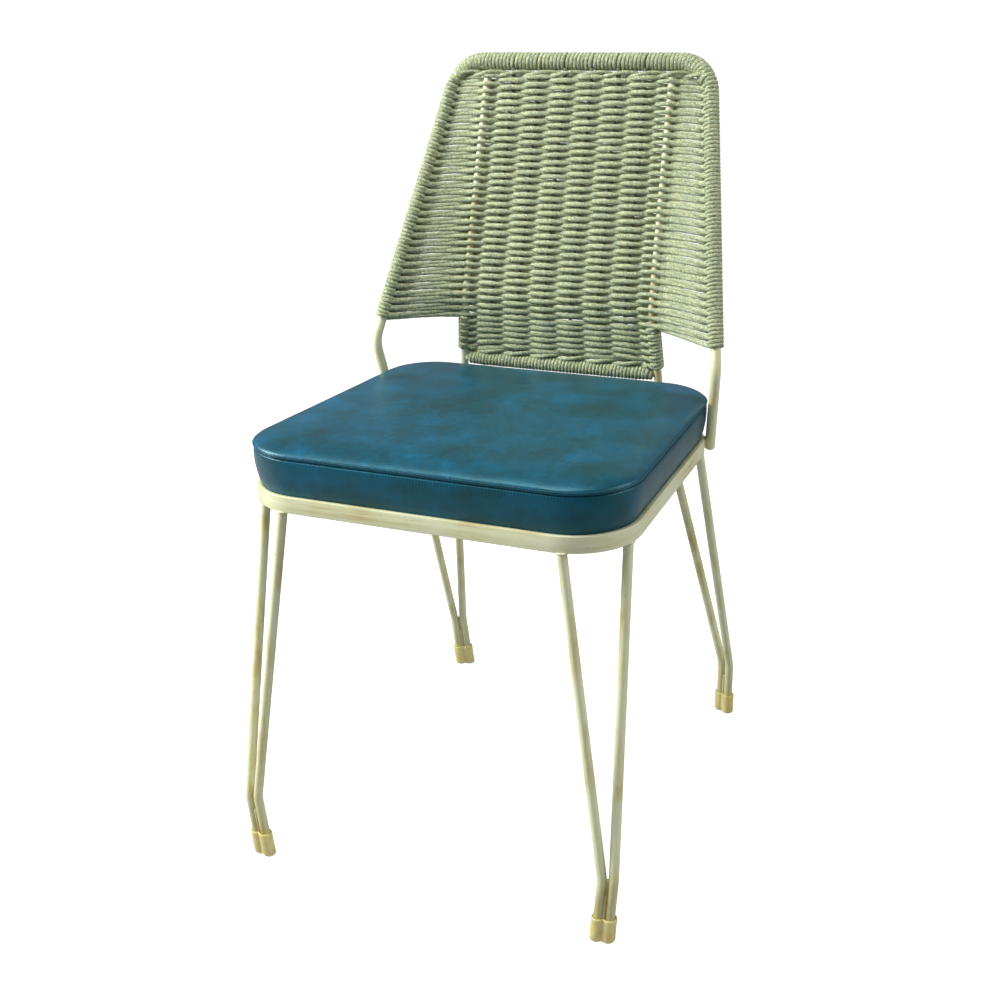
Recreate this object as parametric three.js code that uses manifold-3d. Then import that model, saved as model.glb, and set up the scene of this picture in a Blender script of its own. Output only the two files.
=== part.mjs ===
// Side chair: steel rod legs under a flat bar seat ring, a padded seat held in the
// ring, and a back woven from rope on a tube hoop and two uprights.
// Millimetres. X runs across the chair, Y to its back and Z up from the floor.

import * as THREE from 'three';
import { mergeVertices } from 'three/addons/utils/BufferGeometryUtils.js';
import Module from 'manifold-3d';

const wasm = await Module();
wasm.setup();

// Clearance that touching pieces keep, and how far a cutting tool overruns
const clearance = 0.3;
const overrun = 20;

// Seat ring, a flat bar on edge bent to a rounded trapezoid
const ringDepth = 374;
const ringFrontWidth = 412;
const ringRearWidth = 380;
const ringFrontRadius = 66;
const ringRearRadius = 66;
const ringThickness = 5;
const ringHeight = 17;
const ringTop = 417;

// Tabs welded inside the ring, which carry the seat board on screws
const tabLength = 36;
const tabWidth = 22;
const tabThickness = 3;
const tabFrontReach = 95;
const tabRearReach = 80;
const tabHoleInset = 9;
const screwDiameter = 4.5;
const screwHeadDiameter = 9;
const screwHeadHeight = 2.6;
const screwLength = 12;

// Seat pad: a plywood board, a foam block and a leatherette cover turned under the board
const boardThickness = 12;
const coverThickness = 1.6;
const coverTurnUnder = 14;
const padSeamHeight = 39;
const padSeamInset = 1;
const padRearInset = 6;
const padEdgeRoll = 4;
const padCrown = 8;

// Leg rods: two to a leg, spread under the ring and side by side from the knee down
const rodDiameter = 10;
const rodSpacing = 11.6;
const kneeHeight = 72;
const kneeRadius = 40;
const frontRodSpread = 296;
const frontOuterRodAngle = 14;
const frontFootSpacing = 390;
const frontFootReach = 10;
const frontKneeOut = 6.5;
const frontKneeReach = 2.5;
const frontPairAngle = 8;
const rearRodSpread = 269;
const rearOuterRodAngle = 27;
const rearFootSpacing = 369;
const rearFootReach = 108.5;
const rearKneeOut = 3;
const rearKneeReach = -10.5;
const rearPairAngle = -25;

// Foot caps, moulded with a barrel for each rod
const capHeight = 24;
const capWall = 1.6;
const capFloor = 4;

// Back hoop, a tube that rises outside the ring, kinks outward and reclines to the top rail
const hoopDiameter = 11;
const hoopFootAngle = 19;
const hoopFootHeight = 6;
const hoopBendOut = 9.5;
const hoopBendSetback = 64;
const hoopBendRise = 81;
const hoopBendRadius = 34;
const hoopTopHalfWidth = 149;
const hoopTopRake = 73;
const hoopTopHeight = 802;
const hoopCornerRadius = 38;

// Two inner uprights and the cross bar between them
const uprightDiameter = 9;
const uprightFootHalfWidth = 124;
const uprightFootRise = 4;
const uprightFootRadius = 20;
const uprightKinkHalfWidth = 114;
const uprightKinkSetback = 6;
const uprightKinkRise = 128;
const uprightKinkRadius = 40;
const uprightTopHalfWidth = 110;
const uprightTopForward = 5;
const barDiameter = 8;
const barRise = 53;

// Rope: warp cords, weft panels and windings
const ropeDiameter = 4.4;
const warpCount = 6;
const panelHalfThickness = 4.4;
const panelRib = 2.2;
const wingHoopRise = 22;
const wingUprightRise = 61;
const windingLoops = 24;
const wrapFootRise = 12;

// How finely round pieces are faceted
const tubeSides = 10;
const ropeSides = 5;
const windingSteps = 8;
const cornerSteps = 6;
const runSteps = 3;
const bendSteps = 5;
const cellSteps = 4;
const wingRows = 7;
const wingColumns = 3;
const screwSides = 12;

const paint = new THREE.MeshStandardMaterial({ color: 0xe6e1c4, roughness: 0.45, metalness: 0.1 });
const leatherette = new THREE.MeshStandardMaterial({ color: 0x145a7c, roughness: 0.42 });
const foam = new THREE.MeshStandardMaterial({ color: 0xe9dfb0, roughness: 0.95 });
const plywood = new THREE.MeshStandardMaterial({ color: 0xb88f5a, roughness: 0.8 });
const rope = new THREE.MeshStandardMaterial({ color: 0xa9ad93, roughness: 0.9 });
const softPlastic = new THREE.MeshStandardMaterial({ color: 0xdcc68c, roughness: 0.5 });
const zinc = new THREE.MeshStandardMaterial({ color: 0xb4b6b8, roughness: 0.35, metalness: 1 });

const rodRadius = rodDiameter / 2;
const hoopRadius = hoopDiameter / 2;
const uprightRadius = uprightDiameter / 2;
const barRadius = barDiameter / 2;
const ropeRadius = ropeDiameter / 2;
const ringBottom = ringTop - ringHeight;
const ringFront = -ringDepth / 2;
const ringRear = ringDepth / 2;
const hoopBendHeight = ringTop + hoopBendRise;
const barHeight = ringTop + barRise;
const ringTaper = (ringFrontWidth - ringRearWidth) / 2 / ringDepth;
const uprightGap = uprightRadius / Math.cos(Math.PI / tubeSides) + clearance;

const chair = new THREE.Group();

function piece(name, geometry, material) {
  geometry.computeVertexNormals();
  const mesh = new THREE.Mesh(geometry, material);
  mesh.name = name;
  chair.add(mesh);
}

function welded(geometry) {
  geometry.deleteAttribute('normal');
  geometry.deleteAttribute('uv');
  return mergeVertices(geometry);
}

function indexed(points, triangles) {
  const geometry = new THREE.BufferGeometry().setFromPoints(points);
  geometry.setIndex(triangles);
  return geometry;
}

function mirrored(geometry) {
  const copy = geometry.clone().applyMatrix4(new THREE.Matrix4().makeScale(-1, 1, 1));
  copy.setIndex(Array.from(copy.index.array).reverse());
  return copy;
}

function pair(name, geometry, material) {
  piece(`${name}_right`, geometry, material);
  piece(`${name}_left`, mirrored(geometry), material);
}

function solid(geometry) {
  const vertProperties = new Float32Array(geometry.attributes.position.array);
  const triVerts = new Uint32Array(geometry.index.array);
  return new wasm.Manifold(new wasm.Mesh({ numProp: 3, vertProperties, triVerts }));
}

function surface(body) {
  const mesh = body.getMesh();
  const geometry = new THREE.BufferGeometry();
  geometry.setAttribute('position', new THREE.BufferAttribute(mesh.vertProperties, mesh.numProp));
  geometry.setIndex(Array.from(mesh.triVerts));
  return geometry;
}

// A path through given points, with a section at each of them
class Route extends THREE.Curve {
  constructor(points) {
    super();
    this.points = points;
  }

  getPoint(t, target = new THREE.Vector3()) {
    const last = this.points.length - 1;
    const place = t * last;
    const start = Math.min(Math.floor(place), last - 1);
    return target.lerpVectors(this.points[start], this.points[start + 1], place - start);
  }

  getPointAt(u, target) {
    return this.getPoint(u, target);
  }

  getTangentAt(u, target = new THREE.Vector3()) {
    const last = this.points.length - 1;
    const here = Math.round(u * last);
    const before = this.points[Math.max(here - 1, 0)];
    const after = this.points[Math.min(here + 1, last)];
    const point = this.points[here];
    const arriving = point.clone().sub(before).normalize();
    const leaving = after.clone().sub(point).normalize();
    return target.addVectors(arriving, leaving).normalize();
  }
}

function polygon(radius, sides) {
  return Array.from({ length: sides }, (_, k) => {
    const angle = (2 * Math.PI * k) / sides;
    return new THREE.Vector2(radius * Math.cos(angle), radius * Math.sin(angle));
  });
}

function swept(shape, points) {
  const settings = { steps: points.length - 1, extrudePath: new Route(points) };
  return welded(new THREE.ExtrudeGeometry(shape, settings));
}

function tube(points, radius, sides = tubeSides) {
  return swept(new THREE.Shape(polygon(radius, sides)), points);
}

function sleeve(points, innerRadius, wall) {
  const bore = innerRadius / Math.cos(Math.PI / tubeSides);
  const shape = new THREE.Shape(polygon(bore + wall, tubeSides));
  shape.holes.push(new THREE.Path(polygon(bore, tubeSides)));
  return swept(shape, points);
}

// Points along corners that are rounded with circular arcs
function bent(corners, radii, steps) {
  const points = [corners[0]];
  for (let k = 1; k < corners.length - 1; k += 1) {
    const corner = corners[k];
    const back = corners[k - 1].clone().sub(corner).normalize();
    const ahead = corners[k + 1].clone().sub(corner).normalize();
    const half = back.angleTo(ahead) / 2;
    const reach = radii[k - 1] / Math.tan(half);
    const middle = back.clone().add(ahead).normalize();
    const centre = corner.clone().addScaledVector(middle, radii[k - 1] / Math.sin(half));
    const start = corner.clone().addScaledVector(back, reach).sub(centre);
    const end = corner.clone().addScaledVector(ahead, reach).sub(centre);
    const sweep = Math.PI - 2 * half;
    for (let step = 0; step <= steps; step += 1) {
      const share = step / steps;
      const point = centre.clone();
      point.addScaledVector(start, Math.sin((1 - share) * sweep) / Math.sin(sweep));
      point.addScaledVector(end, Math.sin(share * sweep) / Math.sin(sweep));
      points.push(point);
    }
  }
  points.push(corners[corners.length - 1]);
  return points;
}

// The point of a rising path at one height
function atHeight(points, height) {
  let k = 1;
  while (k < points.length - 1 && points[k].z < height) k += 1;
  const share = (height - points[k - 1].z) / (points[k].z - points[k - 1].z);
  return points[k - 1].clone().lerp(points[k], share);
}

// Corners of the ring's outline, moved inward by an inset on each side
function ringCorners(frontInset, sideInset, rearInset) {
  const front = ringFront + frontInset;
  const rear = ringRear - rearInset;
  const slant = sideInset * Math.hypot(1, ringTaper);
  const halfWidth = (y) => ringFrontWidth / 2 - ringTaper * (y - ringFront) - slant;
  return [
    new THREE.Vector2(halfWidth(front), front),
    new THREE.Vector2(halfWidth(rear), rear),
    new THREE.Vector2(-halfWidth(rear), rear),
    new THREE.Vector2(-halfWidth(front), front),
  ];
}

function ringCornerCentre(corner, before, after, radius) {
  const back = before.clone().sub(corner).normalize();
  const ahead = after.clone().sub(corner).normalize();
  const half = Math.acos(back.dot(ahead)) / 2;
  const middle = back.clone().add(ahead).normalize();
  return corner.clone().addScaledVector(middle, radius / Math.sin(half));
}

const cornersOfRing = ringCorners(0, 0, 0);
const frontArcCentre = ringCornerCentre(
  cornersOfRing[0], cornersOfRing[3], cornersOfRing[1], ringFrontRadius,
);
const rearArcCentre = ringCornerCentre(
  cornersOfRing[1], cornersOfRing[0], cornersOfRing[2], ringRearRadius,
);

// The closed outline of the ring at given insets, always with the same number of points
function outline(frontInset, sideInset = frontInset, rearInset = frontInset) {
  const corners = ringCorners(frontInset, sideInset, rearInset);
  const frontRadius = ringFrontRadius - Math.max(frontInset, sideInset);
  const rearRadius = ringRearRadius - Math.max(rearInset, sideInset);
  const radii = [frontRadius, rearRadius, rearRadius, frontRadius];
  const arcs = corners.map((corner, k) => {
    const before = corners[(k + 3) % 4];
    const after = corners[(k + 1) % 4];
    const centre = ringCornerCentre(corner, before, after, radii[k]);
    const into = corner.clone().sub(before);
    const out = after.clone().sub(corner);
    const start = Math.atan2(into.y, into.x) - Math.PI / 2;
    const turn = Math.acos(into.normalize().dot(out.normalize()));
    return Array.from({ length: cornerSteps + 1 }, (_, step) => {
      const angle = start + (turn * step) / cornerSteps;
      const arm = new THREE.Vector2(Math.cos(angle), Math.sin(angle));
      return centre.clone().addScaledVector(arm, radii[k]);
    });
  });
  return arcs.flatMap((arc, k) => {
    const next = arcs[(k + 1) % 4][0];
    const end = arc[arc.length - 1];
    const run = Array.from({ length: runSteps - 1 }, (_, step) => (
      end.clone().lerp(next, (step + 1) / runSteps)
    ));
    return [...arc, ...run];
  });
}

function lifted(loop, height, share = 1) {
  return loop.map((point) => new THREE.Vector3(point.x * share, point.y * share, height));
}

// A closed body from a stack of loops, with a fan over its first and last loop
function stacked(loops) {
  const count = loops[0].length;
  const points = loops.flat();
  const triangles = [];
  for (let level = 0; level < loops.length - 1; level += 1) {
    for (let k = 0; k < count; k += 1) {
      const here = level * count + k;
      const beside = level * count + ((k + 1) % count);
      triangles.push(here, beside, beside + count, here, beside + count, here + count);
    }
  }
  for (const [level, up] of [[0, false], [loops.length - 1, true]]) {
    const centre = points.length;
    const middle = new THREE.Vector3();
    loops[level].forEach((point) => middle.add(point));
    points.push(middle.divideScalar(count));
    for (let k = 0; k < count; k += 1) {
      const here = level * count + k;
      const beside = level * count + ((k + 1) % count);
      triangles.push(...(up ? [here, beside, centre] : [beside, here, centre]));
    }
  }
  return indexed(points, triangles);
}

// A closed slab between two grids of the same size, the first one facing -Y
function slab(front, back) {
  const rows = front.length;
  const columns = front[0].length;
  const points = [...front.flat(), ...back.flat()];
  const triangles = [];
  const quad = (a, b, c, d) => triangles.push(a, b, c, a, c, d);
  const at = (side, row, column) => (side * rows + row) * columns + column;
  for (let row = 0; row < rows - 1; row += 1) {
    for (let column = 0; column < columns - 1; column += 1) {
      const corners = (side) => [
        at(side, row, column), at(side, row, column + 1),
        at(side, row + 1, column + 1), at(side, row + 1, column),
      ];
      quad(...corners(0));
      quad(...corners(1).reverse());
    }
    const last = columns - 1;
    quad(at(1, row, 0), at(0, row, 0), at(0, row + 1, 0), at(1, row + 1, 0));
    quad(at(0, row, last), at(1, row, last), at(1, row + 1, last), at(0, row + 1, last));
  }
  for (let column = 0; column < columns - 1; column += 1) {
    const top = rows - 1;
    quad(at(0, 0, column + 1), at(0, 0, column), at(1, 0, column), at(1, 0, column + 1));
    quad(at(0, top, column), at(0, top, column + 1), at(1, top, column + 1), at(1, top, column));
  }
  return indexed(points, triangles);
}

function makeRing() {
  const shape = new THREE.Shape(outline(0));
  shape.holes.push(new THREE.Path(outline(ringThickness)));
  const geometry = new THREE.ExtrudeGeometry(shape, { depth: ringHeight, bevelEnabled: false });
  geometry.translate(0, 0, ringBottom);
  piece('seat_ring', welded(geometry), paint);
}

// Stack of the seat pad, from the tabs up
const padInset = ringThickness + clearance;
const padRearBase = Math.max(padInset, padRearInset);
const tabBottom = ringBottom + clearance;
const tabTop = tabBottom + tabThickness;
const coverBottom = tabTop + clearance;
const boardBottom = coverBottom + coverThickness + clearance;
const boardTop = boardBottom + boardThickness;
const seamHeight = ringTop + padSeamHeight;

// Each tab's end on the ring and the direction in which it reaches inward
function tabPlaces() {
  const facing = Math.atan(ringTaper);
  const places = [];
  for (const [name, y] of [['front', ringFront + tabFrontReach], ['rear', ringRear - tabRearReach]]) {
    const halfWidth = ringFrontWidth / 2 - ringTaper * (y - ringFront);
    const start = halfWidth - padInset * Math.hypot(1, ringTaper);
    places.push({ name: `seat_tab_${name}_right`, x: start, y, turn: Math.PI + facing });
    places.push({ name: `seat_tab_${name}_left`, x: -start, y, turn: -facing });
  }
  return places;
}

function tabHolePlace(place) {
  const reach = tabLength - tabHoleInset;
  return new THREE.Vector2(
    place.x + reach * Math.cos(place.turn),
    place.y + reach * Math.sin(place.turn),
  );
}

function makeTabs() {
  for (const place of tabPlaces()) {
    const shape = new THREE.Shape([
      new THREE.Vector2(0, -tabWidth / 2),
      new THREE.Vector2(tabLength, -tabWidth / 2),
      new THREE.Vector2(tabLength, tabWidth / 2),
      new THREE.Vector2(0, tabWidth / 2),
    ]);
    const hole = polygon(screwDiameter / 2 + clearance, screwSides);
    hole.forEach((point) => point.setX(point.x + tabLength - tabHoleInset));
    shape.holes.push(new THREE.Path(hole));
    const geometry = new THREE.ExtrudeGeometry(shape, { depth: tabThickness, bevelEnabled: false });
    geometry.rotateZ(place.turn);
    geometry.translate(place.x, place.y, tabBottom);
    piece(place.name, welded(geometry), paint);
  }
}

function makeScrews() {
  const places = tabPlaces().map(tabHolePlace);
  const headTop = tabBottom - clearance;
  const headRadius = screwHeadDiameter / 2;
  const flatShare = 0.6;
  const rimShare = 0.3;
  const profile = [
    new THREE.Vector2(0, headTop - screwHeadHeight),
    new THREE.Vector2(headRadius * flatShare, headTop - screwHeadHeight),
    new THREE.Vector2(headRadius, headTop - screwHeadHeight * rimShare),
    new THREE.Vector2(headRadius, headTop),
    new THREE.Vector2(screwDiameter / 2, headTop),
    new THREE.Vector2(screwDiameter / 2, headTop + screwLength),
    new THREE.Vector2(0, headTop + screwLength),
  ];
  places.forEach((place, k) => {
    const geometry = new THREE.LatheGeometry(profile, screwSides);
    geometry.rotateX(Math.PI / 2);
    geometry.translate(place.x, place.y, 0);
    piece(`seat_screw_${k + 1}`, welded(geometry), zinc);
  });
}

function makeBoard() {
  const skin = coverThickness + clearance;
  const shape = new THREE.Shape(outline(padInset + skin, padInset + skin, padRearBase + skin));
  for (const place of tabPlaces().map(tabHolePlace)) {
    const hole = polygon(screwDiameter / 2 + clearance, screwSides);
    hole.forEach((point) => point.add(place));
    shape.holes.push(new THREE.Path(hole));
  }
  const geometry = new THREE.ExtrudeGeometry(shape, { depth: boardThickness, bevelEnabled: false });
  geometry.translate(0, 0, boardBottom);
  piece('seat_board', welded(geometry), plywood);
}

// Loops of the pad's skin from the ring's top edge over the crown, at a depth below the face
function padSkin(depth) {
  const seam = outline(depth + padSeamInset, depth + padSeamInset, depth + padRearInset);
  const base = outline(depth + padInset, depth + padInset, depth + padRearBase);
  const bellyShare = 0.45;
  const belly = base.map((point, k) => point.clone().lerp(seam[k], Math.sqrt(bellyShare)));
  const bellyHeight = ringTop + clearance + bellyShare * padSeamHeight;
  const rollTop = seamHeight + padEdgeRoll;
  const crownShares = [0.96, 0.86, 0.66, 0.36];
  const crown = crownShares.map((share) => (
    lifted(seam, rollTop + padCrown * (1 - share ** 3) - depth, share)
  ));
  return [
    lifted(base, ringTop + clearance),
    lifted(belly, bellyHeight),
    lifted(seam, seamHeight - depth / 2),
    ...crown,
  ];
}

function makeCover() {
  const face = padSkin(0);
  const lining = padSkin(coverThickness);
  const side = outline(padInset, padInset, padRearBase);
  const sideLining = outline(
    padInset + coverThickness,
    padInset + coverThickness,
    padRearBase + coverThickness,
  );
  const edge = outline(padInset + coverTurnUnder);
  const loops = [
    ...lining.reverse(),
    lifted(sideLining, coverBottom + coverThickness),
    lifted(edge, coverBottom + coverThickness),
    lifted(edge, coverBottom),
    lifted(side, coverBottom),
    ...face,
  ];
  piece('seat_cover', stacked(loops), leatherette);
}

function makeFoam() {
  const depth = coverThickness + clearance;
  const skin = padSkin(depth);
  skin[0] = skin[0].map((point) => point.clone().setZ(boardTop + clearance));
  piece('seat_foam', stacked(skin), foam);
}

// Places on the ring's bottom edge, inside its outer face by a rod's radius
function rodTops() {
  const onArc = (centre, radius, degrees) => {
    const angle = THREE.MathUtils.degToRad(degrees);
    const arm = new THREE.Vector2(Math.cos(angle), Math.sin(angle));
    return centre.clone().addScaledVector(arm, radius - rodRadius);
  };
  return {
    frontInner: new THREE.Vector2(frontRodSpread / 2, ringFront + rodRadius),
    frontOuter: onArc(frontArcCentre, ringFrontRadius, -frontOuterRodAngle),
    rearInner: new THREE.Vector2(rearRodSpread / 2, ringRear - rodRadius),
    rearOuter: onArc(rearArcCentre, ringRearRadius, rearOuterRodAngle),
  };
}

// One leg: two rods and their cap
function makeLeg(name, inner, outer, foot, knee, pairAngle) {
  const angle = THREE.MathUtils.degToRad(pairAngle);
  const apart = new THREE.Vector3(Math.cos(angle), Math.sin(angle), 0).multiplyScalar(rodSpacing / 2);
  const shin = knee.clone().sub(foot).normalize();
  const barrels = [];
  const bores = [];
  for (const [letter, top, side] of [['a', inner, -1], ['b', outer, 1]]) {
    const footPoint = foot.clone().addScaledVector(apart, side);
    const kneePoint = knee.clone().addScaledVector(apart, side);
    const seat = new THREE.Vector3(top.x, top.y, ringBottom - clearance);
    const rise = seat.clone().sub(kneePoint).normalize();
    const start = footPoint.clone().addScaledVector(shin, capFloor + clearance);
    const past = seat.clone().addScaledVector(rise, rodDiameter);
    const route = bent([start, kneePoint, past], [kneeRadius], bendSteps);
    const rod = solid(tube(route, rodRadius)).trimByPlane([0, 0, -1], clearance - ringBottom);
    pair(`${name}_leg_rod_${letter}`, surface(rod), paint);

    const below = footPoint.clone().addScaledVector(shin, -rodDiameter);
    const capTop = footPoint.clone().addScaledVector(shin, capHeight);
    const boreRadius = (rodRadius + clearance) / Math.cos(Math.PI / tubeSides);
    barrels.push(solid(tube([below, capTop], boreRadius + capWall)));
    const boreStart = footPoint.clone().addScaledVector(shin, capFloor);
    const boreEnd = capTop.clone().addScaledVector(shin, overrun);
    bores.push(solid(tube([boreStart, boreEnd], boreRadius)));
  }
  const body = barrels[0].add(barrels[1]).trimByPlane([0, 0, 1], 0);
  pair(`${name}_foot_cap`, surface(body.subtract(bores[0]).subtract(bores[1])), softPlastic);
}

function makeLegs() {
  const tops = rodTops();
  const frontFoot = new THREE.Vector3(frontFootSpacing / 2, ringFront - frontFootReach, 0);
  const frontKnee = frontFoot.clone();
  frontKnee.add(new THREE.Vector3(frontKneeOut, -frontKneeReach, kneeHeight));
  makeLeg('front', tops.frontInner, tops.frontOuter, frontFoot, frontKnee, frontPairAngle);
  const rearFoot = new THREE.Vector3(rearFootSpacing / 2, ringRear + rearFootReach, 0);
  const rearKnee = rearFoot.clone();
  rearKnee.add(new THREE.Vector3(rearKneeOut, rearKneeReach, kneeHeight));
  makeLeg('rear', tops.rearInner, tops.rearOuter, rearFoot, rearKnee, rearPairAngle);
}

// Centre line of the hoop's right side, unrounded, from its foot on the ring's rear corner
function hoopCorners() {
  const angle = THREE.MathUtils.degToRad(hoopFootAngle);
  const reach = ringRearRadius + hoopRadius + clearance;
  const foot = rearArcCentre.clone();
  foot.addScaledVector(new THREE.Vector2(Math.cos(angle), Math.sin(angle)), reach);
  return [
    new THREE.Vector3(foot.x, foot.y, ringBottom + hoopFootHeight),
    new THREE.Vector3(foot.x + hoopBendOut, ringRear - hoopBendSetback, hoopBendHeight),
    new THREE.Vector3(hoopTopHalfWidth, ringRear + hoopTopRake, hoopTopHeight),
  ];
}

const flipX = (point) => new THREE.Vector3(-point.x, point.y, point.z);

const hoopRight = hoopCorners();
const hoopPoints = bent(
  [...hoopRight, ...hoopRight.map(flipX).reverse()],
  [hoopBendRadius, hoopCornerRadius, hoopCornerRadius, hoopBendRadius],
  bendSteps,
);
const hoopSide = hoopPoints.slice(0, hoopPoints.length / 2);
const railEnd = hoopSide[hoopSide.length - 1];

const uprightBack = ringRear + uprightRadius + clearance;
const uprightKinkHeight = ringTop + uprightKinkRise;
const uprightPoints = bent(
  [
    new THREE.Vector3(uprightFootHalfWidth, uprightBack, ringBottom + clearance),
    new THREE.Vector3(uprightFootHalfWidth, uprightBack, ringTop + uprightFootRise),
    new THREE.Vector3(uprightKinkHalfWidth, ringRear - uprightKinkSetback, uprightKinkHeight),
    new THREE.Vector3(uprightTopHalfWidth, railEnd.y - uprightTopForward, hoopTopHeight),
  ],
  [uprightFootRadius, uprightKinkRadius],
  bendSteps,
);

// Direction up the back between its kink and the top rail
const recline = uprightPoints[uprightPoints.length - 1].clone();
recline.sub(uprightPoints[uprightPoints.length - 2]).setX(0).normalize();

function makeFrame() {
  piece('back_hoop', tube(hoopPoints, hoopRadius), paint);
  const top = uprightPoints[uprightPoints.length - 1].clone();
  top.addScaledVector(recline, uprightTopForward * recline.y - hoopRadius - clearance);
  pair('back_upright', tube([...uprightPoints.slice(0, -1), top], uprightRadius), paint);
  const place = atHeight(uprightPoints, barHeight);
  const half = place.x - uprightGap;
  const ends = [new THREE.Vector3(-half, place.y, barHeight), new THREE.Vector3(half, place.y, barHeight)];
  piece('back_cross_bar', tube(ends, barRadius), paint);
}

// Radius of a winding's centre line that keeps its chords clear of the core
function windingRadius(coreRadius) {
  return (coreRadius + clearance + ropeRadius) / Math.cos(Math.PI / windingSteps);
}

const railWrapRadius = windingRadius(hoopRadius) + ropeRadius;
const barWrapRadius = windingRadius(barRadius) + ropeRadius;

function leastGap(points) {
  let least = Infinity;
  for (let k = 0; k < points.length; k += 1) {
    for (let other = k + windingSteps / 2; other < points.length; other += 1) {
      least = Math.min(least, points[k].distanceTo(points[other]) - ropeDiameter);
    }
  }
  return least;
}

// One unbroken rope wound round a bar that runs along X
function makeWinding(name, halfLength, centre, coreRadius) {
  const radius = windingRadius(coreRadius);
  const count = windingLoops * windingSteps;
  const points = Array.from({ length: count + 1 }, (_, k) => {
    const angle = (2 * Math.PI * k) / windingSteps;
    const x = halfLength * ((2 * k) / count - 1);
    return new THREE.Vector3(x, centre.y + radius * Math.sin(angle), centre.z + radius * Math.cos(angle));
  });
  const tail = new THREE.Vector3(0, ropeDiameter, 0);
  points.unshift(points[0].clone().sub(tail));
  points.push(points[points.length - 1].clone().add(tail));
  console.log(`${name}: least gap to itself ${leastGap(points).toFixed(2)} mm`);
  piece(name, tube(points, ropeRadius, ropeSides), rope);
}

function makeWindings() {
  const railHalf = uprightTopHalfWidth - uprightRadius - ropeDiameter;
  makeWinding('top_rail_winding', railHalf, railEnd, hoopRadius);
  const place = atHeight(uprightPoints, barHeight);
  const barHalf = place.x - uprightRadius - ropeDiameter;
  makeWinding('cross_bar_winding', barHalf, place, barRadius);
}

// Levels at which the centre panel and the warp cords change direction
const panelLow = barHeight + barWrapRadius + clearance;
const panelHigh = hoopTopHeight - railWrapRadius - clearance;
const kinkPoints = uprightPoints.slice(-(bendSteps + 2), -1);
const panelLevels = [panelLow, ...kinkPoints.map((point) => point.z), panelHigh];

function makeCentrePanel() {
  const cells = warpCount + 1;
  const columns = cells * cellSteps + 1;
  const grids = [-1, 1].map((face) => panelLevels.map((height) => {
    const edge = atHeight(uprightPoints, height);
    return Array.from({ length: columns }, (_, k) => {
      const share = (2 * k) / (columns - 1) - 1;
      const atEdge = k === 0 || k === columns - 1;
      const swell = atEdge ? 0 : panelRib * Math.cos((Math.PI * k) / cellSteps) ** 2;
      const depth = face * (panelHalfThickness + swell);
      return new THREE.Vector3(share * (edge.x - uprightGap), edge.y + depth, height);
    });
  }));
  let panel = solid(slab(grids[0], grids[1]));
  for (let k = 1; k <= warpCount; k += 1) {
    const share = (2 * k) / cells - 1;
    const line = panelLevels.map((height) => {
      const edge = atHeight(uprightPoints, height);
      return edge.clone().setX(edge.x * share);
    });
    piece(`warp_cord_${k}`, tube(line, ropeRadius, tubeSides - 2), rope);
    const lowest = line[0].clone().lerp(line[1], -overrun / line[0].distanceTo(line[1]));
    const end = line.length - 1;
    const reach = line[end].distanceTo(line[end - 1]);
    const highest = line[end].clone().lerp(line[end - 1], -overrun / reach);
    const boreRadius = (ropeRadius + clearance) / Math.cos(Math.PI / tubeSides);
    panel = panel.subtract(solid(tube([lowest, ...line.slice(1, -1), highest], boreRadius)));
  }
  piece('woven_centre', surface(panel), rope);
}

// Wings between an upright and the hoop, and the rope turns round the hoop's side
function makeWings() {
  const start = atHeight(hoopSide, hoopBendHeight + wingHoopRise);
  const arc = hoopSide.slice(-(bendSteps + 1));
  const side = [start, ...arc];
  const wrapInner = hoopRadius + clearance;
  pair('side_wrap', sleeve(side, wrapInner, ropeDiameter), rope);

  const reach = wrapInner / Math.cos(Math.PI / tubeSides) + ropeDiameter + clearance;
  const run = Array.from({ length: wingRows }, (_, k) => start.clone().lerp(arc[0], k / wingRows));
  const edge = [...run, ...arc];
  const route = new Route(edge);
  const last = edge.length - 1;
  const across = new THREE.Vector3(0, recline.z, -recline.y);
  const outer = edge.map((point, k) => {
    const inward = new THREE.Vector3().crossVectors(across, route.getTangentAt(k / last)).normalize();
    if (inward.x > 0) inward.negate();
    return point.clone().addScaledVector(inward, reach);
  });
  const rows = outer.filter((point) => (
    point.z < panelHigh && point.x > atHeight(uprightPoints, point.z).x + uprightGap + ropeDiameter
  ));
  const highest = rows[rows.length - 1].z;
  const rise = (highest - barHeight - wingUprightRise) / (highest - rows[0].z);
  const grids = [-1, 1].map((face) => rows.map((point) => {
    const height = highest - rise * (highest - point.z);
    const inner = atHeight(uprightPoints, height);
    inner.x += uprightGap;
    return Array.from({ length: wingColumns + 1 }, (_, k) => {
      const place = inner.clone().lerp(point, k / wingColumns);
      place.y += face * panelHalfThickness;
      return place;
    });
  }));
  pair('woven_wing', slab(grids[0], grids[1]), rope);
}

// Turns of the weft round each upright below the wing, slotted for the centre panel's edge
function makeUprightWraps() {
  const low = atHeight(uprightPoints, barHeight + wrapFootRise);
  const high = atHeight(uprightPoints, barHeight + wingUprightRise - panelHalfThickness);
  const middle = kinkPoints.filter((point) => point.z < high.z);
  const wrap = solid(sleeve([low, ...middle, high], uprightRadius + clearance, ropeDiameter));
  const slotHeights = [low.z - overrun, ...middle.map((point) => point.z), high.z + overrun];
  const grids = [-1, 1].map((face) => slotHeights.map((height) => {
    const place = atHeight(uprightPoints, height);
    const depth = face * (panelHalfThickness + panelRib + clearance);
    return [place.x - overrun, place.x].map((x) => new THREE.Vector3(x, place.y + depth, height));
  }));
  pair('upright_wrap', surface(wrap.subtract(solid(slab(grids[0], grids[1])))), rope);
}

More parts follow.
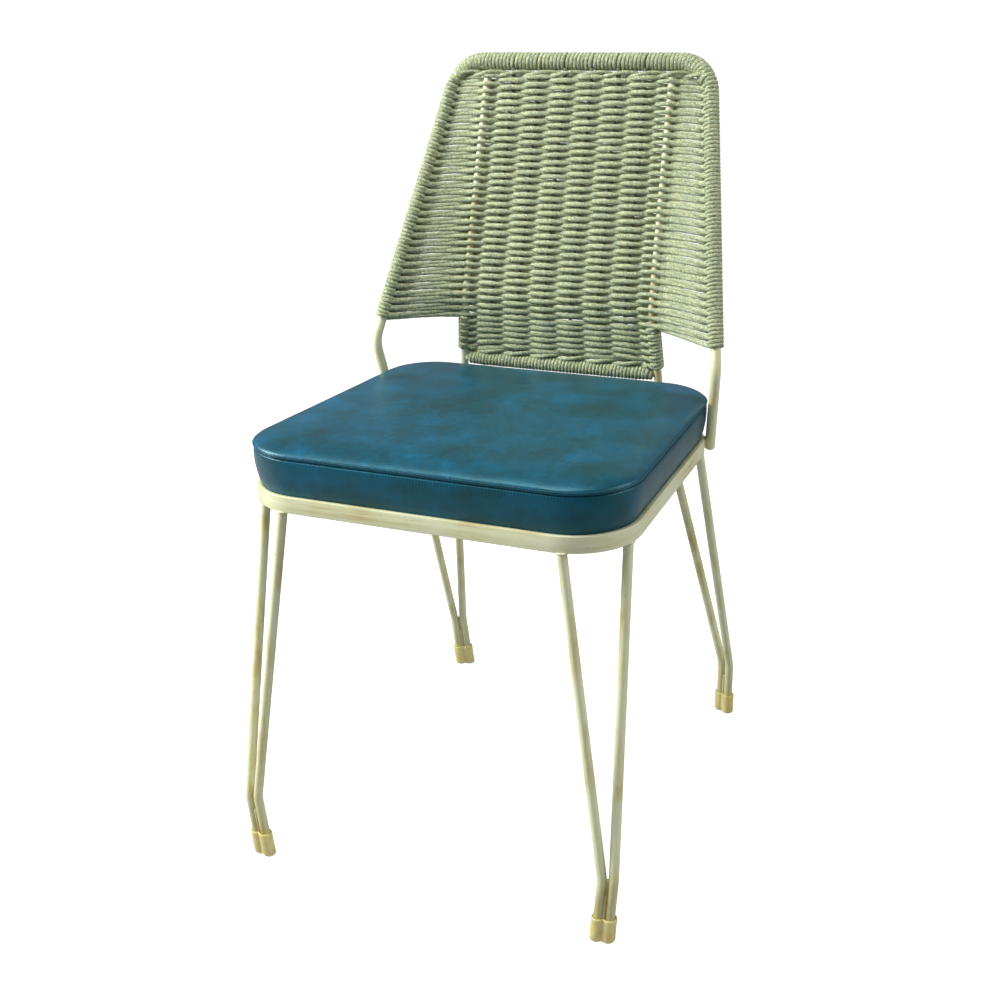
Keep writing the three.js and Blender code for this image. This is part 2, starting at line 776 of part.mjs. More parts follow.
makeRing();
makeTabs();
makeScrews();
makeBoard();
makeFoam();
makeCover();
makeLegs();
makeFrame();
makeWindings();
makeCentrePanel();
makeWings();
makeUprightWraps();

// The origin is on the floor, below the middle of the chair
const reach = new THREE.Box3().setFromObject(chair);
chair.position.y = -(reach.min.y + reach.max.y) / 2;

export default chair;
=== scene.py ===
# Side chair with a padded leatherette seat and a rope-woven back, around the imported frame.
# Sizes are in millimetres; new_mesh() turns them into metres.

import math
from collections import namedtuple

import bpy
import numpy as np
from mathutils import Matrix, Vector


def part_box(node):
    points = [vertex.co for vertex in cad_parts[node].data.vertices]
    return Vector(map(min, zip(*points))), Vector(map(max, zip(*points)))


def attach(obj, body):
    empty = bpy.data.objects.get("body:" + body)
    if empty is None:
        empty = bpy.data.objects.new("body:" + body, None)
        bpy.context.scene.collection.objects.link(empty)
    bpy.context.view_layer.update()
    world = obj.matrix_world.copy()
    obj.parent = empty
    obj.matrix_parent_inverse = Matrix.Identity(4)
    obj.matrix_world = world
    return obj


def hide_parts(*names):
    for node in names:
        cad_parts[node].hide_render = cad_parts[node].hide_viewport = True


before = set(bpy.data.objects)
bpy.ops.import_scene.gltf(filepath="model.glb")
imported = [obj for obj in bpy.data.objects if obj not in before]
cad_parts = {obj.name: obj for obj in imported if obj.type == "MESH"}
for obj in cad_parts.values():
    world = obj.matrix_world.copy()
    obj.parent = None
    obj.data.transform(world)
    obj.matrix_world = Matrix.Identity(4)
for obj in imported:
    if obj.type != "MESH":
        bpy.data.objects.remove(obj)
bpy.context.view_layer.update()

noise = np.random.default_rng(11)

MM = 0.001
BODY = "root"


def box_mm(node):
    low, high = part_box(node)
    return np.array(low) / MM, np.array(high) / MM


# Seat ring, from the frame and the sizes that its box doesn't show
ring_low, ring_high = box_mm("seat_ring")
RING_FRONT_Y, RING_REAR_Y = ring_low[1], ring_high[1]
RING_BOTTOM, RING_TOP = ring_low[2], ring_high[2]
RING_CENTRE_Y = (RING_FRONT_Y + RING_REAR_Y) / 2
RING_FRONT_WIDTH = 412.0
RING_REAR_WIDTH = 380.0
RING_RADIUS = 66.0
RING_THICKNESS = 5.0
RING_TAPER = (RING_FRONT_WIDTH - RING_REAR_WIDTH) / 2 / (RING_REAR_Y - RING_FRONT_Y)
CLEARANCE = 0.3

# Leg rods and their caps
ROD_RADIUS = 5.0
ROD_SPACING = 11.6
KNEE_HEIGHT = 72.0
KNEE_RADIUS = 40.0
CAP_HEIGHT = 28.0
CAP_WALL = 1.9
CAP_FLOOR = 4.0

# Back hoop, uprights and cross bar
HOOP_RADIUS = 5.5
HOOP_FOOT_ANGLE = 19.0
HOOP_FOOT_RISE = 6.0
HOOP_BEND_OUT = 9.5
HOOP_BEND_SETBACK = 64.0
HOOP_BEND_RISE = 81.0
HOOP_BEND_RADIUS = 34.0
HOOP_TOP_HALF_WIDTH = 149.0
HOOP_TOP_RAKE = 73.0
HOOP_TOP_Z = 802.0
HOOP_CORNER_RADIUS = 38.0
UPRIGHT_RADIUS = 4.5
UPRIGHT_FOOT_X = 124.0
UPRIGHT_FOOT_RISE = 4.0
UPRIGHT_FOOT_RADIUS = 20.0
UPRIGHT_KINK_X = 114.0
UPRIGHT_KINK_SETBACK = 6.0
UPRIGHT_KINK_RISE = 128.0
UPRIGHT_KINK_RADIUS = 40.0
UPRIGHT_TOP_X = 110.0
UPRIGHT_TOP_FORWARD = 5.0
BAR_RADIUS = 4.0
BAR_Z = box_mm("back_cross_bar")[0][2] + BAR_RADIUS

# Rope: how it is made
ROPE_SIDES = 12
ROPE_STEP = 2.0
ROPE_LAY = 34.0
ROPE_RELIEF = 0.1
SWELL = 0.06
SWELL_SPACING = 14.0

# Rope: half its depth, and half its height between stakes, in front of a warp cord or an upright,
# behind an upright and in a wing, with what it gains near a wing's edges and in the lowest rows
ROPE_DEEP = 2.0
ROPE_CROSSING = 2.55
ROPE_OVER_WARP = 2.95
ROPE_OVER_UPRIGHT = 2.3
ROPE_BEHIND_UPRIGHT = 3.6
ROPE_IN_WING = 2.5
ROPE_GAIN_AT_EDGE = 1.3
ROPE_GAIN_LOW = 0.45
ROPE_TURN_DEEP = 1.9
RAIL_ROPE_DEEP = 2.5
BAR_ROPE_DEEP = 2.35
WARP_RADIUS = 2.2

# Weave
ROWS = 78
ROWS_FOOT_Z = BAR_Z + 6.5
ROWS_TOP_Z = HOOP_TOP_Z - 14.5
BOTTOM_LIFT = 6.5
LOWER_ROWS = 11
WARP_COUNT = 6
STAKES = WARP_COUNT + 2
WRAP_TURNS = 1.5
WING_FOOT_Z = 518.5
CORNER_SHARE = 0.24
ROW_JITTER = 0.55
ROW_THICKNESS = (0.94, 1.06)
PRESSED = (0.80, 0.92)
PRESSED_LOW = 0.25
LOW_FADE = 1.7
STAKE_REACH = 0.34
STAKE_REACH_IN_WING = 0.07

# Half the height of a rope's turn as a share of the pitch: below the wings, beside them, at a corner
LOWER_TURN = 0.53
TURN = 0.54
CORNER_TURN = 0.66

# Windings
RAIL_PITCH = 4.5
RAIL_GROOVE = 0.24
BAR_PITCH = 4.2
BAR_GROOVE = 0.12
TURN_STEPS = 22
SLIT_WIDENING = 1.45
SLACK = 0.3
COIL_FADE = 20.0
COIL_END_DEPTH = 0.76
COIL_DIVE = 1.8
COIL_DIVE_TURNS = 0.4

# Twined rows
TWINE_HALF = 2.3
TWINE_RISE = 2.0
TWINE_BESIDE = 9.0


def unit(vector):
    return vector / np.linalg.norm(vector)


def units(vectors):
    return vectors / np.linalg.norm(vectors, axis=1, keepdims=True)


def vec(*numbers):
    return np.array(numbers, dtype=float)


def round_loop(loop):
    """The direction at each point of a closed loop."""
    return np.roll(loop, -1, axis=0) - np.roll(loop, 1, axis=0)


def mirror(points):
    """Swap left and right, of points or of strands with their up directions."""
    flipped = np.array(points, dtype=float)
    flipped[..., 0] *= -1
    if flipped.shape[-1] > 3:
        flipped[..., 3] *= -1
    return flipped


# Routes

def arc_corner(before, corner, after, radius, steps):
    back, ahead = unit(before - corner), unit(after - corner)
    half = math.acos(np.clip(back @ ahead, -1, 1)) / 2
    centre = corner + unit(back + ahead) * radius / math.sin(half)
    start = corner + back * radius / math.tan(half) - centre
    end = corner + ahead * radius / math.tan(half) - centre
    sweep = math.pi - 2 * half
    shares = np.linspace(0, 1, steps + 1)
    return [
        centre + (start * math.sin((1 - s) * sweep) + end * math.sin(s * sweep)) / math.sin(sweep)
        for s in shares
    ]


def bent(corners, radii, steps=12):
    points = [corners[0]]
    for k, radius in enumerate(radii, start=1):
        points += arc_corner(corners[k - 1], corners[k], corners[k + 1], radius, steps)
    points.append(corners[-1])
    return np.array(points)


class Route:
    """A path that gives the point at a length along it."""

    def __init__(self, points):
        self.points = np.asarray(points, dtype=float)
        steps = np.linalg.norm(np.diff(self.points[:, :3], axis=0), axis=1)
        self.lengths = np.concatenate([[0], np.cumsum(steps)])
        self.length = self.lengths[-1]

    def at(self, length):
        columns = range(self.points.shape[1])
        return np.stack([np.interp(length, self.lengths, self.points[:, k]) for k in columns], axis=-1)

    def tangent(self, length, reach=3.0):
        ahead = self.at(np.clip(length + reach, 0, self.length))
        behind = self.at(np.clip(length - reach, 0, self.length))
        return unit(ahead - behind)

    def length_at_height(self, z):
        return float(np.interp(z, self.points[:, 2], self.lengths))


def resampled(points, step):
    route = Route(points)
    count = max(2, int(round(route.length / step)) + 1)
    return route.at(np.linspace(0, route.length, count))


# Ring outline

def ring_corners(front_inset, side_inset, rear_inset):
    front, rear = RING_FRONT_Y + front_inset, RING_REAR_Y - rear_inset
    slant = side_inset * math.hypot(1, RING_TAPER)

    def half_width(y):
        return RING_FRONT_WIDTH / 2 - RING_TAPER * (y - RING_FRONT_Y) - slant

    return [
        vec(half_width(front), front, 0),
        vec(half_width(rear), rear, 0),
        vec(-half_width(rear), rear, 0),
        vec(-half_width(front), front, 0),
    ]


def arc_centre(index):
    corners = ring_corners(0, 0, 0)
    corner = corners[index]
    back, ahead = unit(corners[index - 1] - corner), unit(corners[(index + 1) % 4] - corner)
    half = math.acos(back @ ahead) / 2
    return corner + unit(back + ahead) * RING_RADIUS / math.sin(half)


FRONT_ARC_CENTRE = arc_centre(0)
REAR_ARC_CENTRE = arc_centre(1)


def ring_outline(inset, rear_inset, count):
    """Points round the ring, a quarter of them from the middle of each corner to the next."""
    corners = ring_corners(inset, inset, rear_inset)
    front_radius = RING_RADIUS - inset
    rear_radius = RING_RADIUS - max(rear_inset, inset)
    radii = [front_radius, rear_radius, rear_radius, front_radius]
    arcs = [
        arc_corner(corners[k - 1], corners[k], corners[(k + 1) % 4], radii[k], 24)
        for k in range(4)
    ]
    points = []
    for k in range(4):
        side = Route(arcs[k][12:] + arcs[(k + 1) % 4][:13])
        points.append(side.at(np.linspace(0, side.length, count // 4 + 1)[:-1]))
    return np.concatenate(points)


# Meshes: vertices, quads, UVs of the quads' corners, other faces

def moving_frames(points, closed=False):
    """Tangent and two cross directions at each point, carried along without twist."""
    tangents = units(round_loop(points) if closed else np.gradient(points, axis=0))
    seed = vec(0, 0, 1) if abs(tangents[0][2]) < 0.9 else vec(1, 0, 0)
    normals = np.empty_like(tangents)
    normal = unit(np.cross(tangents[0], seed))
    for k, tangent in enumerate(tangents):
        normal = normal - (normal @ tangent) * tangent
        normal = normal / math.sqrt(normal @ normal)
        normals[k] = normal
    return normals, np.cross(tangents, normals)


def grid_faces(rows, columns, closed_rows=False):
    row = np.arange(rows if closed_rows else rows - 1)
    r, c = np.meshgrid(row, np.arange(columns), indexing="ij")
    r2, c2 = (r + 1) % rows, (c + 1) % columns
    quads = np.stack([r * columns + c, r * columns + c2, r2 * columns + c2, r2 * columns + c], axis=-1)
    return quads.reshape(-1, 4)


def grid_uvs(row_values, column_values):
    """UVs of a grid whose columns close on themselves: one value more than rows or columns."""
    r, c = np.meshgrid(np.arange(len(row_values) - 1), np.arange(len(column_values) - 1), indexing="ij")
    low, high = row_values[r], row_values[r + 1]
    left, right = column_values[c], column_values[c + 1]
    corners = [(low, left), (low, right), (high, right), (high, left)]
    return np.stack([np.stack(pair, axis=-1) for pair in corners], axis=2).reshape(-1, 4, 2)


def tube(points, radius, sides=20, closed=False):
    """A swept round bar, closed on itself or with flat ends."""
    points = np.asarray(points, dtype=float)
    count = len(points)
    normals, binormals = moving_frames(points, closed)
    angles = np.arange(sides) * 2 * math.pi / sides
    radii = np.broadcast_to(np.asarray(radius, dtype=float), (count,))[:, None, None]
    cosines, sines = np.cos(angles)[None, :, None], np.sin(angles)[None, :, None]
    arms = normals[:, None, :] * cosines + binormals[:, None, :] * sines
    vertices = (points[:, None, :] + arms * radii).reshape(-1, 3)
    quads = grid_faces(count, sides, closed_rows=closed)
    last = (count - 1) * sides
    ends = [] if closed else [list(range(sides))[::-1], list(range(last, last + sides))]
    return vertices, quads, np.zeros((len(quads), 4, 2)), ends


def loft(loops):
    """A closed body through loops of equal count."""
    columns = len(loops[0])
    last = (len(loops) - 1) * columns
    quads = grid_faces(len(loops), columns)
    ends = [list(range(columns))[::-1], list(range(last, last + columns))]
    return np.concatenate(loops), quads, np.zeros((len(quads), 4, 2)), ends


def mirrored(part):
    vertices, quads, uvs, ends = part
    return mirror(vertices), quads[:, ::-1], uvs[:, ::-1], [face[::-1] for face in ends]


def joined(parts):
    vertices, quads, uvs, ends, offset = [], [], [], [], 0
    for part in parts:
        vertices.append(part[0])
        quads.append(part[1] + offset)
        uvs.append(part[2])
        ends += [[index + offset for index in face] for face in part[3]]
        offset += len(part[0])
    return np.concatenate(vertices), np.concatenate(quads), np.concatenate(uvs), ends


def new_mesh(name, part):
    vertices, quads, uvs, ends = part
    mesh = bpy.data.meshes.new(name)
    sizes = np.concatenate([np.full(len(quads), 4), [len(face) for face in ends]]).astype(np.int32)
    corners = np.concatenate([quads.ravel()] + [np.array(face) for face in ends]).astype(np.int32)
    mesh.vertices.add(len(vertices))
    mesh.vertices.foreach_set("co", (vertices * MM).ravel())
    mesh.loops.add(len(corners))
    mesh.loops.foreach_set("vertex_index", corners)
    mesh.polygons.add(len(sizes))
    mesh.polygons.foreach_set("loop_start", np.concatenate([[0], np.cumsum(sizes)[:-1]]).astype(np.int32))
    mesh.polygons.foreach_set("loop_total", sizes)
    mesh.polygons.foreach_set("use_smooth", np.full(len(sizes), True))
    layer = mesh.uv_layers.new(name="UVMap")
    flat = np.zeros((len(corners), 2))
    flat[: uvs.size // 2] = uvs.reshape(-1, 2)
    layer.data.foreach_set("uv", flat.ravel())
    mesh.update(calc_edges=True)
    mesh.validate()
    return mesh


def new_object(name, data):
    item = bpy.data.objects.new(name, data)
    bpy.context.scene.collection.objects.link(item)
    return item


def make_piece(name, part, material, replaces=()):
    piece = new_object(name, new_mesh(name, part))
    piece.data.materials.append(material)
    if replaces:
        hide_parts(*replaces)
    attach(piece, BODY)
    return piece


def make_pair(name, part, material, node=None):
    """The same piece on the right and, mirrored, on the left."""
    for side, made in (("right", part), ("left", mirrored(part))):
        make_piece(f"{name}_{side}", made, material, [f"{node}_{side}"] if node else [])


# Materials

def srgb(red, green, blue):
    def linear(level):
        share = level / 255
        return share / 12.92 if share <= 0.04045 else ((share + 0.055) / 1.055) ** 2.4
    return linear(red), linear(green), linear(blue), 1.0


BLACK = (0, 0, 0, 1)
WHITE = (1, 1, 1, 1)


class Tree:
    """A short way to build a node tree."""

    def __init__(self, owner):
        owner.use_nodes = True
        self.tree = owner.node_tree

    def add(self, kind, links=None, **settings):
        node = self.tree.nodes.new(kind)
        for key, value in settings.items():
            setattr(node, key, value)
        for socket, value in (links or {}).items():
            self.set(node.inputs[socket], value)
        return node

    def set(self, socket, value):
        if isinstance(value, bpy.types.NodeSocket):
            self.tree.links.new(value, socket)
        else:
            socket.default_value = value

    def math(self, operation, *values):
        node = self.add("ShaderNodeMath", operation=operation)
        for socket, value in zip(node.inputs, values):
            self.set(socket, value)
        return node.outputs[0]

    def seen(self):
        """1 where the camera looks, straight or through clear plastic, and 0 for the light itself."""
        path = self.add("ShaderNodeLightPath")
        return self.math("MAXIMUM", path.outputs["Is Camera Ray"], path.outputs["Is Transmission Ray"])


class Nodes(Tree):
    """A material and its nodes."""

    def __init__(self, name):
        self.material = bpy.data.materials.new(name)
        super().__init__(self.material)
        self.shader = self.tree.nodes["Principled BSDF"]

    def object_point(self):
        return self.add("ShaderNodeTexCoord").outputs["Object"]

    def place(self, *scale):
        """The object's own coordinates, scaled by one number or by three."""
        scale = scale if len(scale) == 3 else scale * 3
        return self.add("ShaderNodeMapping", {"Vector": self.object_point(), "Scale": scale}).outputs[0]

    def split(self, vector):
        return self.add("ShaderNodeSeparateXYZ", {"Vector": vector}).outputs[:]

    def uv(self):
        return self.split(self.add("ShaderNodeUVMap", uv_map="UVMap").outputs[0])[:2]

    def height(self, low, high):
        """How far up between two heights, in metres."""
        return self.add("ShaderNodeMapRange", {
            "Value": self.split(self.object_point())[2], "From Min": low, "From Max": high,
        }).outputs[0]

    def noise(self, vector, detail=4.0, roughness=0.55, distortion=0.0):
        return self.add("ShaderNodeTexNoise", {
            "Vector": vector, "Scale": 1.0, "Detail": detail,
            "Roughness": roughness, "Distortion": distortion,
        }).outputs["Fac"]

    def ramp(self, factor, stops):
        node = self.add("ShaderNodeValToRGB", {"Fac": factor})
        elements = node.color_ramp.elements
        while len(elements) < len(stops):
            elements.new(0.5)
        for element, (position, colour) in zip(elements, stops):
            element.position = position
            element.color = colour
        return node.outputs["Color"]

    def mix(self, factor, first, second, blend="MIX"):
        node = self.add("ShaderNodeMix", data_type="RGBA", blend_type=blend)
        self.set(node.inputs["Factor"], factor)
        self.set(node.inputs[6], first)
        self.set(node.inputs[7], second)
        return node.outputs[2]

    def level(self, factor, low, high):
        return self.add("ShaderNodeMapRange", {"Value": factor, "To Min": low, "To Max": high}).outputs[0]

    def bump(self, height, distance, strength=1.0, normal=None):
        node = self.add("ShaderNodeBump", {"Height": height, "Distance": distance, "Strength": strength})
        if normal is not None:
            self.set(node.inputs["Normal"], normal)
        return node.outputs[0]

    def finish(self, **inputs):
        for key, value in inputs.items():
            self.set(self.shader.inputs[key.replace("_", " ")], value)
        return self.material


def paint_material(name, stretch):
    """Aged ivory enamel, with a yellow-brown patina that runs along the piece."""
    nodes = Nodes(name)
    streaks = nodes.noise(nodes.place(*stretch), 5.0, 0.62, 0.3)
    clouds = nodes.noise(nodes.place(13), 3.0, 0.5)
    specks = nodes.noise(nodes.place(420), 2.0, 0.6)
    worn = nodes.math("MULTIPLY", streaks, clouds)
    base = nodes.ramp(worn, [
        (0.20, srgb(220, 224, 188)), (0.28, srgb(212, 212, 168)),
        (0.36, srgb(196, 184, 128)), (0.48, srgb(162, 146, 92)),
    ])
    # Darker and yellower towards the floor: below 30 mm, fading out by 75 mm, the colour moves 55% of the
    # way to base times a tan.
    darker_low = nodes.mix(1.0, base, srgb(214, 200, 148), "MULTIPLY")
    foot = nodes.math("SUBTRACT", 1.0, nodes.height(0.03, 0.075))
    colour = nodes.mix(nodes.math("MULTIPLY", foot, 0.55), base, darker_low)
    dots = nodes.ramp(specks, [(0.68, WHITE), (0.76, srgb(220, 212, 176))])
    colour = nodes.mix(1.0, colour, dots, "MULTIPLY")
    wave = nodes.noise(nodes.place(150), 2.0)
    return nodes.finish(
        Base_Color=colour,
        Roughness=nodes.level(worn, 0.34, 0.5),
        Normal=nodes.bump(wave, 0.0002, 0.5),
    )


def rope_material(name, shade):
    """Sage melange twine: light, mid and dark fibres that run with the lay of the strands, the whole colour
    multiplied by the shade factor, a painted shade for rope that lies in the weave's shadow.
    """
    nodes = Nodes(name)
    along, around = nodes.uv()
    turns = nodes.math("SUBTRACT", around, nodes.math("MULTIPLY", along, 1000 / ROPE_LAY))
    angle = nodes.math("MULTIPLY", turns, 2 * math.pi)
    cosine = nodes.math("COSINE", angle)
    sine = nodes.math("SINE", angle)

    def fibres(girth, length):
        return nodes.add("ShaderNodeCombineXYZ", {
            "X": nodes.math("MULTIPLY", cosine, girth),
            "Y": nodes.math("MULTIPLY", sine, girth),
            "Z": nodes.math("MULTIPLY", along, length),
        }).outputs[0]

    fine = nodes.noise(fibres(5.2, 420.0), 3.0, 0.75)
    broad = nodes.noise(fibres(0.9, 60.0), 2.0, 0.5)
    melange = nodes.ramp(fine, [
        (0.33, srgb(44, 56, 36)), (0.43, srgb(124, 138, 104)),
        (0.52, srgb(194, 202, 166)), (0.64, srgb(242, 246, 216)),
    ])
    tint = nodes.ramp(broad, [(0.35, srgb(222, 230, 230)), (0.65, srgb(255, 252, 236))])
    colour = nodes.mix(1.0, melange, tint, "MULTIPLY")
    # Painted shade: the colour is multiplied by shade, 0.4 for the warp cords that lie in the weave's
    # shadow.
    colour = nodes.mix(1.0, colour, (shade, shade, shade, 1), "MULTIPLY")
    return nodes.finish(
        Base_Color=colour,
        Roughness=0.85,
        Normal=nodes.bump(fine, 0.001, 1.0),
    )


def leatherette_material():
    """Petrol-blue leatherette with dark clouds, fine grain and puckers below the seam."""
    nodes = Nodes("leatherette_blue")
    clouds = nodes.noise(nodes.place(21, 21, 26), 4.0, 0.55, 0.2)
    fine = nodes.noise(nodes.place(120), 4.0, 0.65)
    blend = nodes.math("ADD", nodes.math("MULTIPLY", clouds, 0.7), nodes.math("MULTIPLY", fine, 0.3))
    colour = nodes.ramp(blend, [
        (0.34, srgb(14, 54, 62)), (0.45, srgb(8, 64, 78)),
        (0.56, srgb(5, 74, 96)), (0.68, srgb(4, 84, 114)),
    ])
    across, around = nodes.uv()
    along = nodes.math("MULTIPLY", around, 2 * math.pi * 1000 / STITCH_PITCH)
    wrinkle = nodes.math("SINE", nodes.math("ADD", along, nodes.math("MULTIPLY", fine, 5.0)))
    below = nodes.math("SUBTRACT", UV_SEAM, across)
    near = nodes.ramp(nodes.math("MULTIPLY", below, 100.0), [
        (0.20, BLACK), (0.30, WHITE), (0.42, WHITE), (0.60, BLACK),
    ])
    pucker = nodes.math("MULTIPLY", wrinkle, near)
    grain = nodes.add("ShaderNodeTexVoronoi", {"Vector": nodes.place(1000), "Scale": 1.0})
    creases = nodes.noise(nodes.place(70), 4.0, 0.6)
    normal = nodes.bump(creases, 0.0008, 0.3)
    normal = nodes.bump(pucker, 0.0003, 0.5, normal)
    normal = nodes.bump(grain.outputs["Distance"], 0.00018, 0.8, normal)
    return nodes.finish(
        Base_Color=colour,
        Roughness=nodes.level(fine, 0.27, 0.39),
        Normal=normal,
        Specular_IOR_Level=0.65,
        Specular_Tint=(0.35, 0.85, 1.0, 1.0),
    )


def cap_material():
    """Yellowed translucent plastic."""
    nodes = Nodes("cap_plastic")
    clouds = nodes.noise(nodes.place(110), 3.0)
    colour = nodes.ramp(clouds, [(0.35, srgb(244, 226, 148)), (0.65, srgb(253, 242, 182))])
    return nodes.finish(
        Base_Color=colour,
        Roughness=0.36,
        Transmission_Weight=0.35,
        Subsurface_Weight=0.4,
        Subsurface_Radius=(0.006, 0.0045, 0.002),
        Subsurface_Scale=1.0,
        Normal=nodes.bump(clouds, 0.0006, 0.5),
    )


def plywood_material():
    nodes = Nodes("plywood")
    rings = nodes.noise(nodes.place(6, 90, 60), 5.0, 0.6, 0.8)
    pores = nodes.noise(nodes.place(30, 700, 400), 3.0)
    colour = nodes.ramp(rings, [(0.3, srgb(150, 108, 66)), (0.7, srgb(204, 168, 118))])
    return nodes.finish(Base_Color=colour, Roughness=0.72, Normal=nodes.bump(pores, 0.0002, 0.6))


def zinc_material():
    nodes = Nodes("zinc")
    cloud = nodes.noise(nodes.place(500), 3.0)
    colour = nodes.ramp(cloud, [(0.3, srgb(176, 178, 178)), (0.7, srgb(206, 208, 208))])
    return nodes.finish(Base_Color=colour, Metallic=1.0, Roughness=nodes.level(cloud, 0.28, 0.45))


def thread_material():
    nodes = Nodes("thread")
    twist = nodes.noise(nodes.place(900), 2.0)
    colour = nodes.ramp(twist, [(0.3, srgb(18, 60, 80)), (0.7, srgb(40, 104, 130))])
    return nodes.finish(Base_Color=colour, Roughness=0.6, Normal=nodes.bump(twist, 0.0002))


STITCH_PITCH = 3.2
STITCH_LENGTH = 2.5
UV_SEAM = 1.0
PAINT_UP = paint_material("paint_upright", (90, 90, 9))
PAINT_ACROSS = paint_material("paint_across", (10, 10, 260))
ROPE = rope_material("rope_melange", 1.0)
# The warp cords' rope, with painted shade: darkened to 0.4 to stand in for the shadow in the slits between
# the front rows.
ROPE_PAINTED_SHADE = rope_material("rope_melange_painted_shade", 0.4)
LEATHERETTE = leatherette_material()
CAP = cap_material()


# Steel frame

def make_ring():
    bevel = 0.9
    section = []
    for inner, upper, turn in ((False, True, 0), (True, True, 1), (True, False, 2), (False, False, 3)):
        for step in range(4):
            angle = math.radians(180 - 90 * turn - 30 * step)
            centre_in = RING_THICKNESS - bevel if inner else bevel
            centre_z = RING_TOP - bevel if upper else RING_BOTTOM + bevel
            section.append((centre_in + bevel * math.cos(angle), centre_z + bevel * math.sin(angle)))
    loops = [ring_outline(inset, inset, 240) + vec(0, 0, z) for inset, z in section]
    vertices = np.stack(loops, axis=1).reshape(-1, 3)
    quads = grid_faces(240, len(section), closed_rows=True)[:, ::-1]
    part = (vertices, quads, np.zeros((len(quads), 4, 2)), [])
    make_piece("ring_bar", part, PAINT_ACROSS, ["seat_ring"])


def arc_point(centre, degrees, radius):
    angle = math.radians(degrees)
    return centre + vec(math.cos(angle), math.sin(angle), 0) * radius


LEGS = {
    "front": {
        "inner": vec(148, RING_FRONT_Y + ROD_RADIUS, 0),
        "outer": arc_point(FRONT_ARC_CENTRE, -14, RING_RADIUS - ROD_RADIUS),
        "foot": vec(195, RING_FRONT_Y - 10, 0),
        "knee": vec(6.5, -2.5, KNEE_HEIGHT),
        "pair_angle": math.radians(8),
    },
    "rear": {
        "inner": vec(134.5, RING_REAR_Y - ROD_RADIUS, 0),
        "outer": arc_point(REAR_ARC_CENTRE, 27, RING_RADIUS - ROD_RADIUS),
        "foot": vec(184.5, RING_REAR_Y + 108.5, 0),
        "knee": vec(3, -10.5, KNEE_HEIGHT),
        "pair_angle": math.radians(-25),
    },
}


def bead(points, radius, closed=False):
    """A weld bead: a tube whose radius swells and shrinks along the joint."""
    points = resampled(points, 1.1)
    if closed:
        points = points[:-1]
    ripple = 1 + 0.14 * np.sin(np.arange(len(points)) * 2.1) + noise.uniform(-0.1, 0.1, len(points))
    return tube(points, radius * ripple, 10, closed=closed)


def circle(centre, normal, radius, steps=24):
    first = unit(np.cross(normal, vec(0.3, 1, 0.2)))
    second = np.cross(unit(normal), first)
    angles = np.linspace(0, 2 * math.pi, steps + 1)[:, None]
    return centre + radius * (np.cos(angles) * first + np.sin(angles) * second)


def leg_rods(leg):
    """The centre lines of a right leg's two rods, their offset from the middle and the shin's way."""
    apart = vec(math.cos(leg["pair_angle"]), math.sin(leg["pair_angle"]), 0) * ROD_SPACING / 2
    knee = leg["foot"] + leg["knee"]
    shin = unit(leg["knee"])
    rods = []
    for top, side in ((leg["inner"], -1), (leg["outer"], 1)):
        foot = leg["foot"] + apart * side
        seat = vec(top[0], top[1], RING_BOTTOM)
        start = foot + shin * (CAP_FLOOR + CLEARANCE)
        rods.append(bent([start, knee + apart * side, seat], [KNEE_RADIUS]))
    return rods, apart, shin


def knee_fillets(leg, apart, shin):
    """Weld metal that fills both grooves between the rods, and a web that reaches up to the knee."""
    across = unit(np.cross(apart, shin))
    heights = np.linspace(CAP_HEIGHT - 8, KNEE_HEIGHT - 16, 36)
    middle = leg["foot"] + shin * (heights / shin[2])[:, None]
    taper = np.clip((heights[-1] - heights) / 6, 0, 1) ** 0.5
    radius = 1.2 + 0.9 * taper + noise.uniform(-0.12, 0.12, len(heights))
    fillets = [tube(middle + across * 1.9 * face, radius, 12) for face in (1, -1)]
    rise = np.linspace(KNEE_HEIGHT - 24, KNEE_HEIGHT + 1, 12)
    web = tube(leg["foot"] + shin * (rise / shin[2])[:, None], 1.6, 12)
    return fillets + [web]


def make_legs():
    for name, leg in LEGS.items():
        rods, apart, shin = leg_rods(leg)
        welds = [bead(circle(rod[-1], vec(0, 0, 1), ROD_RADIUS + 0.3), 1.1, closed=True) for rod in rods]
        welds = joined(welds + knee_fillets(leg, apart, shin))
        for letter, rod in zip("ab", rods):
            part = tube(resampled(rod, 5.0), ROD_RADIUS, 24)
            make_pair(f"{name}_rod_{letter}", part, PAINT_UP, f"{name}_leg_rod_{letter}")
        make_pair(f"{name}_weld", welds, PAINT_UP)


def cap_section(radius, half_gap, steps=48):
    """Two round barrels side by side, softly joined."""
    points = []
    for angle in np.linspace(0, 2 * math.pi, steps, endpoint=False):
        c, s = math.cos(angle), math.sin(angle)
        reach = half_gap * math.hypot(c, 0.16) + math.sqrt(max(radius ** 2 - (half_gap * s) ** 2, 0))
        points.append((reach * c, reach * s))
    return np.array(points)


def make_caps():
    radius = ROD_RADIUS + CLEARANCE + CAP_WALL
    levels = [
        (0.0, 2.2), (0.3, 1.1), (1.0, 0.4), (2.4, 0.0), (9.0, 0.0), (18.0, 0.05), (25.0, -0.1),
        (27.2, -0.05), (28.0, 0.4), (27.7, 1.2), (25.0, 1.9),
    ]
    for name, leg in LEGS.items():
        _, apart, shin = leg_rods(leg)
        along = unit(apart)
        across = unit(np.cross(vec(0, 0, 1), along))
        loops = []
        for height, inset in levels:
            centre = leg["foot"] + shin * height / shin[2]
            section = cap_section(radius - inset, ROD_SPACING / 2)
            loops.append(centre + section[:, :1] * along + section[:, 1:] * across)
        make_pair(f"{name}_cap", loft(loops), CAP, f"{name}_foot_cap")


